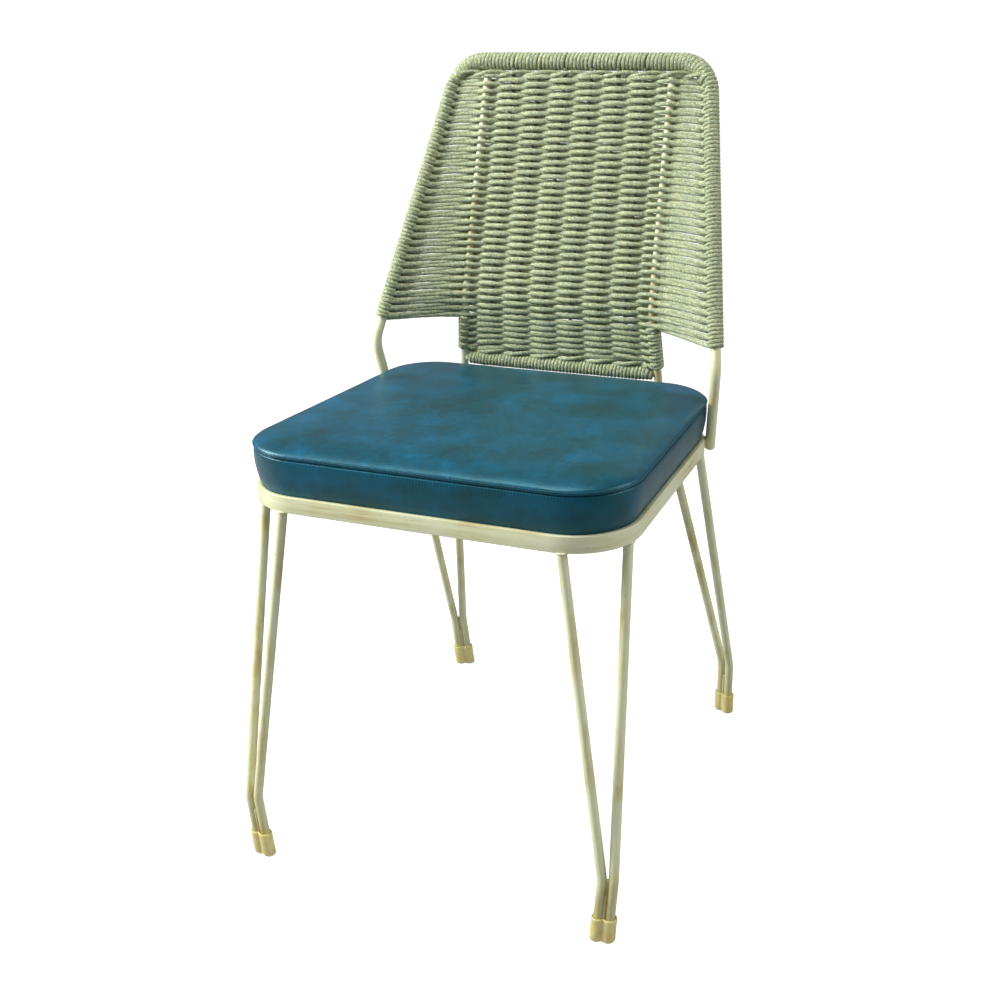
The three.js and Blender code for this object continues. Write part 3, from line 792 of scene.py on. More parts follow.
hoop_foot = arc_point(REAR_ARC_CENTRE, HOOP_FOOT_ANGLE, RING_RADIUS + HOOP_RADIUS + CLEARANCE)
HOOP_CORNERS = [
    vec(hoop_foot[0], hoop_foot[1], RING_BOTTOM + HOOP_FOOT_RISE),
    vec(hoop_foot[0] + HOOP_BEND_OUT, RING_REAR_Y - HOOP_BEND_SETBACK, RING_TOP + HOOP_BEND_RISE),
    vec(HOOP_TOP_HALF_WIDTH, RING_REAR_Y + HOOP_TOP_RAKE, HOOP_TOP_Z),
]
hoop_points = bent(
    HOOP_CORNERS + [mirror(point) for point in HOOP_CORNERS[::-1]],
    [HOOP_BEND_RADIUS, HOOP_CORNER_RADIUS, HOOP_CORNER_RADIUS, HOOP_BEND_RADIUS],
)
HOOP = Route(hoop_points)
HOOP_SIDE = Route(hoop_points[: len(hoop_points) // 2])
RAIL_END = HOOP_SIDE.points[-1]
UPRIGHT = Route(bent(
    [
        vec(UPRIGHT_FOOT_X, RING_REAR_Y + UPRIGHT_RADIUS + CLEARANCE, RING_BOTTOM + CLEARANCE),
        vec(UPRIGHT_FOOT_X, RING_REAR_Y + UPRIGHT_RADIUS + CLEARANCE, RING_TOP + UPRIGHT_FOOT_RISE),
        vec(UPRIGHT_KINK_X, RING_REAR_Y - UPRIGHT_KINK_SETBACK, RING_TOP + UPRIGHT_KINK_RISE),
        vec(UPRIGHT_TOP_X, RAIL_END[1] - UPRIGHT_TOP_FORWARD, HOOP_TOP_Z),
    ],
    [UPRIGHT_FOOT_RADIUS, UPRIGHT_KINK_RADIUS],
))
BAR_END = UPRIGHT.at(UPRIGHT.length_at_height(BAR_Z))


def rounded_rod(points, radius, sides=24):
    """A round bar with a domed start."""
    points = resampled(points, 4.0)
    way = unit(points[0] - points[1])
    angles = np.radians([80, 60, 40, 20])
    dome = points[0] + way * (radius * 0.6 * np.sin(angles))[:, None]
    radii = np.concatenate([radius * np.cos(angles), np.full(len(points), radius)])
    return tube(np.concatenate([dome, points]), radii, sides)


def frame_welds():
    inward = unit(REAR_ARC_CENTRE - hoop_foot)
    contact = vec(hoop_foot[0], hoop_foot[1], 0) + inward * HOOP_RADIUS
    sideways = vec(-inward[1], inward[0], 0) * 4.0
    beads = []
    for face in (1, -1):
        heights = (HOOP_CORNERS[0][2], RING_TOP - 0.5)
        beads.append(bead([contact + sideways * face + vec(0, 0, z) for z in heights], 1.5))
        x = UPRIGHT_FOOT_X + 3.4 * face
        beads.append(bead([vec(x, RING_REAR_Y + 0.6, z) for z in (RING_BOTTOM + 1, RING_TOP - 1)], 1.3))
    return joined(beads)


def make_back_frame():
    half = rounded_rod(hoop_points[: len(hoop_points) // 2 + 1], HOOP_RADIUS)
    make_piece("hoop_tube", joined([half, mirrored(half)]), PAINT_UP, ["back_hoop"])
    top = UPRIGHT.length_at_height(ROWS_TOP_Z + 2.5)
    upright = tube(UPRIGHT.at(np.linspace(0, top, 70)), UPRIGHT_RADIUS, 24)
    make_pair("upright", upright, PAINT_UP, "back_upright")
    make_pair("back_weld", frame_welds(), PAINT_UP)
    bar = tube(np.linspace(mirror(BAR_END), BAR_END, 20), BAR_RADIUS, 20)
    make_piece("cross_bar", bar, PAINT_ACROSS, ["back_cross_bar"])


# Rope back. A strand is a path of place, up direction, half height and half depth. A stake is what a
# row bends round, with the row's distance from it and its half height in front of it and behind it.

Stake = namedtuple("Stake", "place front up depth half behind")


def strand(points, ups, half, deep):
    count = len(points)
    return np.column_stack([
        points, np.broadcast_to(ups, (count, 3)),
        np.broadcast_to(half, (count,)), np.broadcast_to(deep, (count,)),
    ])


def rope(path, start, groove=0.0):
    """A rope of three twisted strands, squeezed to the height and depth of its path.

    A groove along its outer face, as a share of its depth, parts its yarns.
    """
    path = resampled(path, ROPE_STEP)
    count = len(path)
    points, ups, half, deep = path[:, :3], path[:, 3:6], path[:, 6], path[:, 7]
    tangents = units(np.gradient(points, axis=0))
    ups = units(ups - tangents * np.sum(ups * tangents, axis=1, keepdims=True))
    outs = np.cross(tangents, ups)
    lengths = np.arange(count + 1) * ROPE_STEP + start
    angles = np.arange(ROPE_SIDES) * 2 * math.pi / ROPE_SIDES
    spin = lengths[:-1, None] * 2 * math.pi / ROPE_LAY
    relief = 1 - ROPE_RELIEF * (1 - np.abs(np.cos(1.5 * (angles[None, :] - spin))))
    relief[:, [ROPE_SIDES // 4, 3 * ROPE_SIDES // 4]] -= groove
    swell = 1 + SWELL * np.interp(lengths[:-1], *swelling(lengths))
    up_arm = np.cos(angles)[None, :] * relief * (half * swell)[:, None]
    out_arm = np.sin(angles)[None, :] * relief * deep[:, None]
    vertices = points[:, None, :] + ups[:, None, :] * up_arm[:, :, None]
    vertices += outs[:, None, :] * out_arm[:, :, None]
    _, quads, _, ends = loft(vertices)
    uvs = grid_uvs(lengths[:-1] * MM, np.arange(ROPE_SIDES + 1) / ROPE_SIDES)
    return vertices.reshape(-1, 3), quads, uvs, ends


def swelling(lengths):
    """Thick and thin places along the rope."""
    knots = np.arange(lengths[0] - 30, lengths[-1] + 60, SWELL_SPACING)
    return knots, noise.uniform(-1, 1, len(knots))


def cross_frame(route, length, away):
    """Outward and front directions across a route, where away points to its free side."""
    tangent = route.tangent(length)
    outward = unit(away - (away @ tangent) * tangent)
    front = np.cross(tangent, outward)
    return outward, front if front[1] < 0 else -front


LOW = UPRIGHT.length_at_height(ROWS_FOOT_Z)
HIGH = UPRIGHT.length_at_height(ROWS_TOP_Z)
ROW_PITCH = (HIGH - LOW) / ROWS
WING_ROWS = ROWS - LOWER_ROWS
HOOP_LOW = HOOP_SIDE.length_at_height(WING_FOOT_Z)
corner_start = HOOP_SIDE.lengths[-13]
HOOP_HIGH = corner_start + (HOOP_SIDE.length - corner_start) * CORNER_SHARE
HOOP_PITCH = (HOOP_HIGH - HOOP_LOW) / WING_ROWS


def hoop_length(row):
    """Where a wing row meets the hoop."""
    return HOOP_LOW + (row + 0.5) * HOOP_PITCH


def panel_frame(length):
    """Up and front directions of the panel at a length along the uprights."""
    up = unit(UPRIGHT.tangent(length, 12.0) * vec(0, 1, 1))
    return up, vec(0, -up[2], up[1])


def panel_stakes(row):
    """The uprights and warp cords that a row crosses, left to right."""
    length = LOW + (row + 0.5) * ROW_PITCH
    up, front = panel_frame(length)
    lift = BOTTOM_LIFT * max(0.0, 1 - row / LOWER_ROWS)
    lowness = min(1.0, max(0.0, LOW_FADE - row / LOWER_ROWS))
    stakes = []
    for k in range(STAKES):
        at_upright = k in (0, STAKES - 1)
        here = UPRIGHT.at(length if at_upright else length + lift)
        radius = UPRIGHT_RADIUS if at_upright else WARP_RADIUS
        place = here * vec(2 * k / (STAKES - 1) - 1, 1, 1) + up * noise.uniform(-ROW_JITTER, ROW_JITTER)
        depth = (radius + ROPE_DEEP) * noise.uniform(*PRESSED) * (1 - PRESSED_LOW * lowness)
        half, behind = ROPE_OVER_WARP, ROPE_OVER_WARP
        if at_upright:
            half, behind = ROPE_OVER_UPRIGHT, ROPE_BEHIND_UPRIGHT
        gain = ROPE_GAIN_LOW * lowness
        stakes.append(Stake(place, front, up, depth, half + gain, behind + gain))
    return stakes


def hoop_stake(length, inner, half, left):
    """The hoop's side as a stake."""
    point = HOOP_SIDE.at(length)
    _, front = cross_frame(HOOP_SIDE, length, point - inner)
    up = HOOP_SIDE.tangent(length)
    if left:
        point, front, up = mirror(point), mirror(front), mirror(up)
    return Stake(point, front, up, HOOP_RADIUS + ROPE_TURN_DEEP, half, half)


def row_strand(stakes, sign):
    """One row: in front of a stake, then behind the next. Wing spans run straight."""
    pieces = []
    for k, (here, there) in enumerate(zip(stakes, stakes[1:])):
        wing = len(stakes) > STAKES and k in (0, len(stakes) - 2)
        u = np.linspace(0, 1, 17)[:-1, None]
        rise = u * u * (3 - 2 * u) if wing else u
        places = here.place * (1 - u) + there.place * u
        places[:, 2:] = here.place[2] * (1 - rise) + there.place[2] * rise
        fronts = units(here.front * (1 - u) + there.front * u)
        wave = (1 - 2 * u) ** 3 if wing else np.cos(math.pi * u)
        side = sign * (-1) ** k
        depths = (here.depth * (1 - u) + there.depth * u) * wave * side
        ups = here.up * (1 - u) + there.up * u
        share = u[:, 0]
        reach = STAKE_REACH_IN_WING if wing else STAKE_REACH
        span = ROPE_IN_WING + ROPE_GAIN_AT_EDGE * (1 - 2 * share) ** 2 if wing else ROPE_CROSSING
        first, second = (here.half, there.behind) if side > 0 else (here.behind, there.half)
        half = span + (first - span) * np.exp(-(share / reach) ** 2)
        half += (second - span) * np.exp(-((1 - share) / reach) ** 2)
        half *= noise.uniform(*ROW_THICKNESS)
        pieces.append(strand(places + fronts * depths, ups, half, ROPE_DEEP))
    last = stakes[-1]
    end = last.place + last.front * last.depth * sign * (-1) ** (len(stakes) - 1)
    pieces.append(strand(end[None, :], last.up, last.half, ROPE_DEEP))
    return np.concatenate(pieces)


def wrap_strand(route, length, pitch, away, radius, half):
    """Turns round a stake from its front to its back, on the right side."""
    points, ups = [], []
    for share in np.linspace(0, WRAP_TURNS, int(TURN_STEPS * WRAP_TURNS))[1:-1]:
        here = length + pitch * share
        outward, front = cross_frame(route, here, away)
        angle = 2 * math.pi * share
        points.append(route.at(here) + radius * (math.cos(angle) * front + math.sin(angle) * outward))
        ups.append(route.tangent(here))
    return strand(np.array(points), np.array(ups), half, ROPE_TURN_DEEP)


def weave_lower():
    """Rows below the wings, one rope that turns round the uprights."""
    pieces = []
    for row in range(LOWER_ROWS):
        to_right = row % 2 == 0
        stakes = panel_stakes(row)
        pieces.append(row_strand(stakes if to_right else stakes[::-1], -1))
        length = LOW + (row + 0.5) * ROW_PITCH
        radius = UPRIGHT_RADIUS + ROPE_TURN_DEEP
        turns = wrap_strand(UPRIGHT, length, ROW_PITCH, vec(1, 0, 0), radius, ROW_PITCH * LOWER_TURN)
        pieces.append(turns if to_right else mirror(turns))
    return np.concatenate(pieces)


def weave_upper():
    """Rows from hoop to hoop, one rope that turns round the hoop's sides."""
    pieces = []
    half = HOOP_PITCH * TURN
    for row in range(WING_ROWS):
        to_right = row % 2 == 0
        end = hoop_length(row)
        begin = hoop_length(row - 1) + WRAP_TURNS * HOOP_PITCH
        upright = UPRIGHT.at(LOW + (row + LOWER_ROWS + 0.5) * ROW_PITCH)
        left, right = (begin, end) if to_right else (end, begin)
        stakes = panel_stakes(row + LOWER_ROWS)
        stakes = [hoop_stake(left, upright, half, True)] + stakes + [hoop_stake(right, upright, half, False)]
        pieces.append(row_strand(stakes if to_right else stakes[::-1], -1))
        away = HOOP_SIDE.at(end) - upright
        turns = wrap_strand(HOOP_SIDE, end, HOOP_PITCH, away, HOOP_RADIUS + ROPE_TURN_DEEP, half)
        pieces.append(turns if to_right else mirror(turns))
    return np.concatenate(pieces)


def coil(route, start, end, pitch, bar_radius, deep, slits=()):
    """Turns of rope along a route, a little apart at the slits. Both ends dive under the turns."""
    points, ups, halves, deeps = [], [], [], []
    length, angle, slack = start, 0.0, 0.0
    while length < end:
        to_end = min(length - start, end - length)
        deep_here = deep * (COIL_END_DEPTH + (1 - COIL_END_DEPTH) * min(1.0, to_end / COIL_FADE))
        dive = COIL_DIVE * max(0.0, 1 - to_end / (COIL_DIVE_TURNS * pitch))
        radius = bar_radius + deep_here * (1 - dive)
        tangent = route.tangent(length)
        first = unit(np.cross(tangent, vec(0, 0, 1)))
        second = np.cross(first, tangent)
        here = route.at(length)
        near = any(abs(here[0] - x) < pitch * 0.55 for x in slits)
        points.append(here + (radius + slack) * (math.cos(angle) * first + math.sin(angle) * second))
        ups.append(tangent)
        halves.append(pitch * (CORNER_TURN if abs(here[0]) > RAIL_END[0] else TURN))
        deeps.append(deep_here)
        angle += 2 * math.pi / TURN_STEPS
        length += pitch * (SLIT_WIDENING if near else 1.0) / TURN_STEPS
        slack += 0.3 * (noise.uniform(-SLACK, SLACK) - slack)
    return strand(np.array(points), np.array(ups), np.array(halves), np.array(deeps))


def twined_row(length, reach, start):
    """Two ropes that twist round each other between the stakes."""
    edge = UPRIGHT.at(length)
    up, front = panel_frame(length)
    spacing = 2 * edge[0] / (STAKES - 1)
    x = np.linspace(-reach, reach, 220)
    beside = np.minimum(abs(x - edge[0]), abs(x + edge[0]))
    swing = WARP_RADIUS + ROPE_DEEP
    swing += (UPRIGHT_RADIUS - WARP_RADIUS) * np.exp(-(beside / TWINE_BESIDE) ** 2)
    parts = []
    for phase in (0, math.pi):
        turn = math.pi * (x + edge[0]) / spacing + phase
        places = np.column_stack([x, np.full_like(x, edge[1]), np.full_like(x, edge[2])])
        places += front * (swing * np.cos(turn))[:, None] + up * (TWINE_RISE * np.sin(turn))[:, None]
        parts.append(rope(strand(places, up, TWINE_HALF, ROPE_DEEP), start + phase * 40))
    return parts


def warp_points(lengths, index):
    return UPRIGHT.at(lengths) * vec(2 * (index + 1) / (STAKES - 1) - 1, 1, 1)


def make_weave():
    parts = [rope(weave_lower(), 0.0), rope(weave_upper(), 700.0)]
    top = HIGH + ROW_PITCH * 0.4
    parts += twined_row(top, HOOP_TOP_HALF_WIDTH - 6, 300.0)
    foot = LOW + BOTTOM_LIFT - ROW_PITCH * 0.6
    parts += twined_row(foot, UPRIGHT.at(foot)[0] - 9, 500.0)
    make_piece("weft", joined(parts), ROPE, [
        "woven_centre", "woven_wing_left", "woven_wing_right", "side_wrap_left", "side_wrap_right",
        "upright_wrap_left", "upright_wrap_right",
    ])
    lengths = np.linspace(LOW, HIGH + 8.0, 60)
    for index in range(WARP_COUNT):
        path = strand(warp_points(lengths, index), vec(1, 0, 0), WARP_RADIUS, WARP_RADIUS)
        part = rope(path, 50.0 * index)
        # Each warp cord gets the rope with painted shade.
        make_piece(f"warp_{index + 1}", part, ROPE_PAINTED_SHADE, [f"warp_cord_{index + 1}"])


def make_windings():
    slits = [warp_points(HIGH, index)[0] for index in range(WARP_COUNT)]
    start = HOOP_HIGH + 1.5
    rail = coil(HOOP, start, HOOP.length - start, RAIL_PITCH, HOOP_RADIUS, RAIL_ROPE_DEEP, slits)
    make_piece("rail_rope", rope(rail, 90.0, RAIL_GROOVE), ROPE, ["top_rail_winding"])
    half = BAR_END[0] - UPRIGHT_RADIUS - 1.5
    middle = BAR_END * vec(0, 1, 1)
    bar = Route([middle - vec(half, 0, 0), middle + vec(half, 0, 0)])
    turns = coil(bar, 0.0, bar.length, BAR_PITCH, BAR_RADIUS, BAR_ROPE_DEEP)
    make_piece("bar_rope", rope(turns, 20.0, BAR_GROOVE), ROPE, ["cross_bar_winding"])


# Seat cushion

SEAM_Z = RING_TOP + 39.0
PAD_INSET = RING_THICKNESS + CLEARANCE
PAD_REAR_INSET = 6.0
SEAM_INSET = -1.2
SEAM_REAR_INSET = 3.0
ROLL_WIDTH = 17.0
ROLL_HEIGHT = 6.4
ROLL_START = -30.0
CROWN = 6.0
GRID = 32
COLUMNS = 8 * GRID
SEAT_MIDDLE = vec(0, RING_CENTRE_Y, 0)
STITCH_LINE = 3.6
STITCH_LIFT = 0.2
FILL_LIMIT = 2.6
EVEN_WINDOW = 25


def outward_of(loop):
    return units(np.cross(round_loop(loop), vec(0, 0, 1)))


def crown_rise(loop, seam):
    """Height of the crown, from how far in from the seam a loop lies."""
    inner = np.linalg.norm(loop[:, :2] - SEAT_MIDDLE[:2], axis=1)
    outer = np.linalg.norm(seam[:, :2] - SEAT_MIDDLE[:2], axis=1)
    return CROWN * (1 - np.clip(inner / outer, 0, 1) ** 2.2)


def cushion_loops():
    """Loops of the cover: under the board, up the side to the seam, and over the roll."""
    low = RING_BOTTOM + 3.6
    turned = ring_outline(PAD_INSET + 14, PAD_INSET + 14, COLUMNS)
    under = ring_outline(PAD_INSET + 1.5, PAD_REAR_INSET + 1.5, COLUMNS)
    wall = ring_outline(PAD_INSET, PAD_REAR_INSET, COLUMNS)
    seam = ring_outline(SEAM_INSET, SEAM_REAR_INSET, COLUMNS)
    loops = [
        turned + vec(0, 0, low + 1.6), turned + vec(0, 0, low + 0.4),
        under + vec(0, 0, low), wall + vec(0, 0, low + 1.6), wall + vec(0, 0, RING_TOP - 1.0),
    ]
    base_count = len(loops)
    for share in (0.04, 0.11, 0.22, 0.36, 0.50, 0.64, 0.78, 0.88, 0.95):
        blend = min(1.0, share / 0.9) ** 0.6
        edge = wall + (seam - wall) * blend
        belly = 1.3 * math.sin(math.pi * share)
        height = RING_TOP + CLEARANCE + share * (SEAM_Z - RING_TOP - CLEARANCE)
        loops.append(edge + outward_of(edge) * belly + vec(0, 0, height))
    seam_index = len(loops)
    outward = outward_of(seam)
    for degrees in (ROLL_START, -20, -9, 3, 16, 31, 46, 61, 76, 90):
        angle, first = math.radians(degrees), math.radians(ROLL_START)
        out = ROLL_WIDTH * (math.cos(angle) - math.cos(first))
        rise = ROLL_HEIGHT * (math.sin(angle) - math.sin(first))
        loop = seam + outward * out
        loop[:, 2] = SEAM_Z + rise + crown_rise(loop, seam)
        loops.append(loop)
    return loops, base_count, seam_index


def crown_rings(edge, seam):
    """Rings of the top from the roll's end inwards, each with eight points fewer."""
    rings = []
    roll_rise = edge[:, 2] - crown_rise(edge, seam)
    for size in range(GRID - 1, 0, -1):
        pick = np.arange(8 * size) * GRID / size
        low = np.floor(pick).astype(int) % COLUMNS
        part = (pick - np.floor(pick))[:, None]

        def between(values):
            return values[low] * (1 - part) + values[(low + 1) % COLUMNS] * part

        outer = between(edge)
        loop = SEAT_MIDDLE + (outer - SEAT_MIDDLE) * size / GRID
        loop[:, 2] = between(roll_rise[:, None])[:, 0] + crown_rise(loop, between(seam))
        rings.append(loop)
    centre = SEAT_MIDDLE + vec(0, 0, roll_rise.mean() + CROWN)
    return rings, centre


def crown_faces(first_ring, offset):
    """Faces of the rings inside a full loop whose first vertex has this index."""
    rings = [first_ring + np.arange(COLUMNS)]
    for size in range(GRID - 1, 0, -1):
        rings.append(offset + np.arange(8 * size))
        offset += 8 * size
    faces = []
    for outer, inner in zip(rings[:-1], rings[1:]):
        many, few = len(outer) // 4, len(inner) // 4
        for quarter in range(4):
            for k in range(many):
                a = outer[quarter * many + k]
                b = outer[(quarter * many + k + 1) % len(outer)]
                c = inner[(quarter * few + min(few, k)) % len(inner)]
                d = inner[(quarter * few + max(0, k - 1)) % len(inner)]
                faces.append([a, b, c] if c == d else [a, b, c, d])
    last = rings[-1]
    faces += [[last[k], last[(k + 1) % len(last)], offset] for k in range(len(last))]
    return [[int(index) for index in face] for face in faces]


def cushion_body(loops, rings, centre, row_values=None):
    vertices = np.concatenate([*loops, *rings, centre[None, :]])
    quads = grid_faces(len(loops), COLUMNS)
    uvs = np.zeros((len(quads), 4, 2))
    if row_values is not None:
        ahead = np.roll(loops[-12], -1, axis=0) - loops[-12]
        around = np.concatenate([[0], np.cumsum(np.linalg.norm(ahead, axis=1))]) * MM
        uvs = grid_uvs(row_values, around)
    faces = crown_faces((len(loops) - 1) * COLUMNS, len(loops) * COLUMNS)
    bottom = list(range(COLUMNS))[::-1]
    return vertices, quads, uvs, faces + [bottom]


def even_round(values, window):
    """Average over a window of neighbours round a closed loop."""
    reach = min(window // 2, (len(values) - 1) // 2)
    total = sum(np.roll(values, step, axis=0) for step in range(-reach, reach + 1))
    return total / (2 * reach + 1)


def evened(shift, loop_count):
    """Even out how far the cloth moved, round each loop and across them, and keep the seam's line."""
    loops = shift[: loop_count * COLUMNS].reshape(loop_count, COLUMNS, 3)
    loops = even_round(loops.transpose(1, 0, 2), EVEN_WINDOW).transpose(1, 0, 2)
    padded = np.concatenate([loops[:1], loops, loops[-1:]])
    loops = (padded[:-2] + padded[1:-1] + padded[2:]) / 3
    parts = [loops.reshape(-1, 3)]
    start = loop_count * COLUMNS
    for size in range(GRID - 1, 0, -1):
        ring = shift[start: start + 8 * size]
        parts.append(even_round(ring, max(3, EVEN_WINDOW * size // GRID)))
        start += 8 * size
    parts.append(shift[start:])
    return np.concatenate(parts)


def filled(body, base_count, seam_index, loop_count):
    """Blow the cover up as cloth, held at its base and partly at its seam."""
    blank = new_object("cover_form", new_mesh("cover_form", body))
    pins = blank.vertex_groups.new(name="held")
    held = np.zeros(len(body[0]))
    held[: base_count * COLUMNS] = 1.0
    held[base_count * COLUMNS: (base_count + 1) * COLUMNS] = 0.6
    held[seam_index * COLUMNS: (seam_index + 1) * COLUMNS] = 0.5
    for weight in np.unique(held[held > 0]):
        pins.add([int(index) for index in np.nonzero(held == weight)[0]], float(weight), "REPLACE")
    cloth = blank.modifiers.new("cover", "CLOTH")
    cloth.settings.quality = 5
    cloth.settings.mass = 0.3
    cloth.settings.tension_stiffness = 25
    cloth.settings.compression_stiffness = 25
    cloth.settings.shear_stiffness = 12
    cloth.settings.bending_stiffness = 1.5
    cloth.settings.use_pressure = True
    cloth.settings.uniform_pressure_force = 4
    cloth.settings.vertex_group_mass = "held"
    cloth.settings.effector_weights.gravity = 0
    cloth.collision_settings.use_collision = False
    cloth.point_cache.frame_start = 1
    cloth.point_cache.frame_end = 20
    scene = bpy.context.scene
    for step in range(1, 21):
        scene.frame_set(step)
    moved = blank.evaluated_get(bpy.context.evaluated_depsgraph_get()).data
    places = np.empty(len(moved.vertices) * 3)
    moved.vertices.foreach_get("co", places)
    shift = places.reshape(-1, 3) / MM - body[0]
    size = np.linalg.norm(shift, axis=1, keepdims=True)
    shift *= np.minimum(1, FILL_LIMIT / np.maximum(size, 1e-6))
    bpy.data.objects.remove(blank)
    scene.frame_set(1)
    return body[0] + evened(shift, loop_count)


def finer_loops(loops, seam_index):
    """More loops near the seam, through the ones given, and each one's distance from the seam."""
    near = [-0.85, -0.7, -0.55, -0.4, -0.25, -0.12, 0, 0.15, 0.35, 0.6, 0.85]
    near += [1.1, 1.35, 1.6, 1.85, 2.1, 2.4, 2.7]
    steps = [float(k) for k in range(seam_index)]
    steps += [seam_index + step for step in near]
    steps += [float(k) for k in range(seam_index + 3, len(loops))]
    stack = np.stack(loops)
    result = []
    for step in steps:
        k = min(int(step), len(loops) - 2)
        u = step - k
        before, after = stack[max(k - 1, 0)], stack[min(k + 2, len(loops) - 1)]
        here, there = stack[k], stack[k + 1]
        result.append(0.5 * (
            2 * here + (there - before) * u
            + (2 * before - 5 * here + 4 * there - after) * u ** 2
            + (3 * here - before - 3 * there + after) * u ** 3
        ))
    spans = np.linalg.norm(np.diff(np.stack(result), axis=0), axis=2).mean(axis=1)
    lengths = np.concatenate([[0], np.cumsum(spans)])
    seam_at = lengths[steps.index(float(seam_index))]
    return result, lengths - seam_at


def seam_relief(loops, distances):
    """Sink the seam and the stitch line, and raise the folded edge between them."""
    shaped = [loop.copy() for loop in loops]
    for k, distance in enumerate(distances):
        if abs(distance) > 9:
            continue
        along = loops[min(k + 1, len(loops) - 1)] - loops[k - 1]
        normal = units(np.cross(round_loop(loops[k]), along))
        depth = -1.0 * math.exp(-(distance / 0.6) ** 2)
        depth += 0.4 * math.exp(-((distance - 1.9) / 1.0) ** 2)
        depth -= 0.45 * math.exp(-((distance - STITCH_LINE) / 0.6) ** 2)
        shaped[k] = loops[k] + normal * depth
    return shaped


def make_stitches(loops, distances):
    line = int(np.argmin(abs(distances - STITCH_LINE)))
    loop = loops[line]
    normal = units(np.cross(round_loop(loop), loops[line + 1] - loops[line - 1]))
    lifted = loop + normal * STITCH_LIFT
    route = Route(np.concatenate([lifted, lifted[:1]]))
    count = int(route.length / STITCH_PITCH)
    shares = np.linspace(-0.5, 0.5, 5)
    radii = np.array([0.16, 0.38, 0.46, 0.38, 0.16])
    parts = []
    for k in range(count):
        middle = (k + 0.5) * route.length / count
        parts.append(tube(route.at(middle + shares * STITCH_LENGTH), radii, 6))
    make_piece("top_stitch", joined(parts), thread_material())


def make_cushion():
    loops, base_count, seam_index = cushion_loops()
    seam = loops[seam_index]
    rings, centre = crown_rings(loops[-1], seam)
    body = cushion_body(loops, rings, centre)
    places = filled(body, base_count, seam_index, len(loops))
    count = len(loops) * COLUMNS
    loops = list(places[:count].reshape(len(loops), COLUMNS, 3))
    top = places[count:-1]
    ends = np.cumsum([len(ring) for ring in rings])
    rings = np.split(top, ends[:-1])
    centre = places[-1]
    loops, distances = finer_loops(loops, seam_index)
    make_stitches(loops, distances)
    loops = seam_relief(loops, distances)
    body = cushion_body(loops, rings, centre, UV_SEAM + distances * MM)
    cushion = make_piece("cushion", body, LEATHERETTE, ["seat_cover", "seat_foam"])
    smooth = cushion.modifiers.new("smooth", "SUBSURF")
    smooth.levels = smooth.render_levels = 1


def dress_cad_nodes():
    """Materials for the CAD nodes that stay as they are."""
    zinc = zinc_material()
    plain = {"seat_board": plywood_material()}
    plain.update({f"seat_screw_{k + 1}": zinc for k in range(4)})
    for end in ("front", "rear"):
        plain.update({f"seat_tab_{end}_{side}": PAINT_ACROSS for side in ("left", "right")})
    for node, material in plain.items():
        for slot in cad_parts[node].material_slots:
            slot.link = "OBJECT"
            slot.material = material


# Camera, floor and lights

def make_camera():
    """The photograph's camera, fitted to points that mirror each other on the chair."""
    place = Vector((573.3, RING_CENTRE_Y - 1263.6, 882.9)) * MM
    yaw, pitch, roll = (math.radians(angle) for angle in (23.939, 20.368, 1.102))
    image_width = 1000
    focal, centre_x, centre_y = 1383.7, 505.3, 499.9
    forward = Vector((-math.sin(yaw) * math.cos(pitch), math.cos(yaw) * math.cos(pitch), -math.sin(pitch)))
    right = Vector((math.cos(yaw), math.sin(yaw), 0))
    down = forward.cross(right)
    across = right * math.cos(roll) + down * math.sin(roll)
    lower = down * math.cos(roll) - right * math.sin(roll)
    camera = new_object("camera", bpy.data.cameras.new("camera"))
    camera.data.sensor_width = 36
    camera.data.lens = 36 * focal / image_width
    camera.data.shift_x = -(centre_x - image_width / 2) / image_width
    camera.data.shift_y = (centre_y - image_width / 2) / image_width
    camera.matrix_world = Matrix((
        (across[0], -lower[0], -forward[0], place[0]),
        (across[1], -lower[1], -forward[1], place[1]),
        (across[2], -lower[2], -forward[2], place[2]),
        (0, 0, 0, 1),
    ))
    bpy.context.scene.camera = camera


FLOOR_GREY = 0.34
FLOOR_GLOW = 0.91
FLOOR_REACH = 30.0
WORLD_LEVEL = 0.28


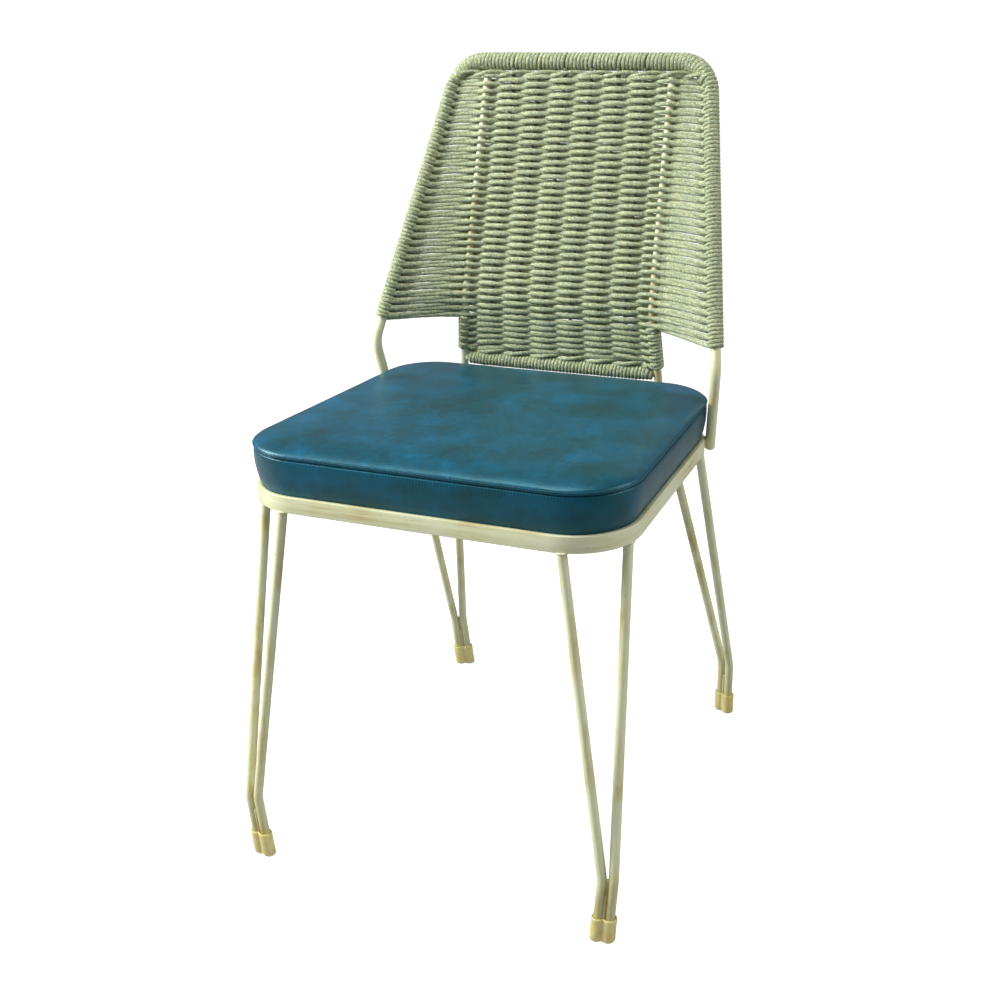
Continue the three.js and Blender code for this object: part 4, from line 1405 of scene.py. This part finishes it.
def make_floor():
    """A floor that takes the shadow and is white in the picture, without lighting the chair."""
    nodes = Nodes("floor")
    nodes.finish(Base_Color=(FLOOR_GREY, FLOOR_GREY, FLOOR_GREY, 1), Roughness=0.95)
    glow = nodes.add("ShaderNodeEmission", {
        "Color": WHITE, "Strength": nodes.math("MULTIPLY", nodes.seen(), FLOOR_GLOW),
    })
    both = nodes.add("ShaderNodeAddShader", {0: nodes.shader.outputs[0], 1: glow.outputs[0]})
    nodes.set(nodes.tree.nodes["Material Output"].inputs["Surface"], both.outputs[0])
    mesh = bpy.data.meshes.new("floor")
    reach = FLOOR_REACH
    corners = [(-reach, -reach, 0), (reach, -reach, 0), (reach, reach, 0), (-reach, reach, 0)]
    mesh.from_pydata(corners, [], [(0, 1, 2, 3)])
    mesh.materials.append(nodes.material)
    floor = new_object("floor", mesh)


def make_world():
    """An even light, and white where the camera sees it."""
    world = bpy.data.worlds.new("world")
    bpy.context.scene.world = world
    nodes = Tree(world)
    level = nodes.add("ShaderNodeMapRange", {
        "Value": nodes.seen(), "To Min": WORLD_LEVEL, "To Max": 1.0,
    })
    background = nodes.tree.nodes["Background"]
    nodes.set(background.inputs["Color"], WHITE)
    nodes.set(background.inputs["Strength"], level.outputs[0])


def area_light(name, place, size, power):
    light = bpy.data.lights.new(name, "AREA")
    light.shape = "RECTANGLE"
    light.size, light.size_y = size
    light.energy = power
    lamp = new_object(name, light)
    lamp.location = place
    lamp.rotation_mode = "QUATERNION"
    lamp.rotation_quaternion = (Vector((0, 0, 0.45)) - Vector(place)).to_track_quat("-Z", "Y")


def make_lights():
    area_light("key", (-2.2, -0.85, 1.6), (1.0, 1.0), 98)
    area_light("side", (2.1, 0.4, 1.3), (0.9, 1.3), 20)
    area_light("top", (-0.3, -0.5, 2.6), (1.2, 1.2), 40)


make_camera()
make_floor()
make_world()
make_lights()
make_ring()
make_legs()
make_caps()
make_back_frame()
make_weave()
make_windings()
make_cushion()
dress_cad_nodes()

bpy.context.scene.view_settings.view_transform = "Standard"
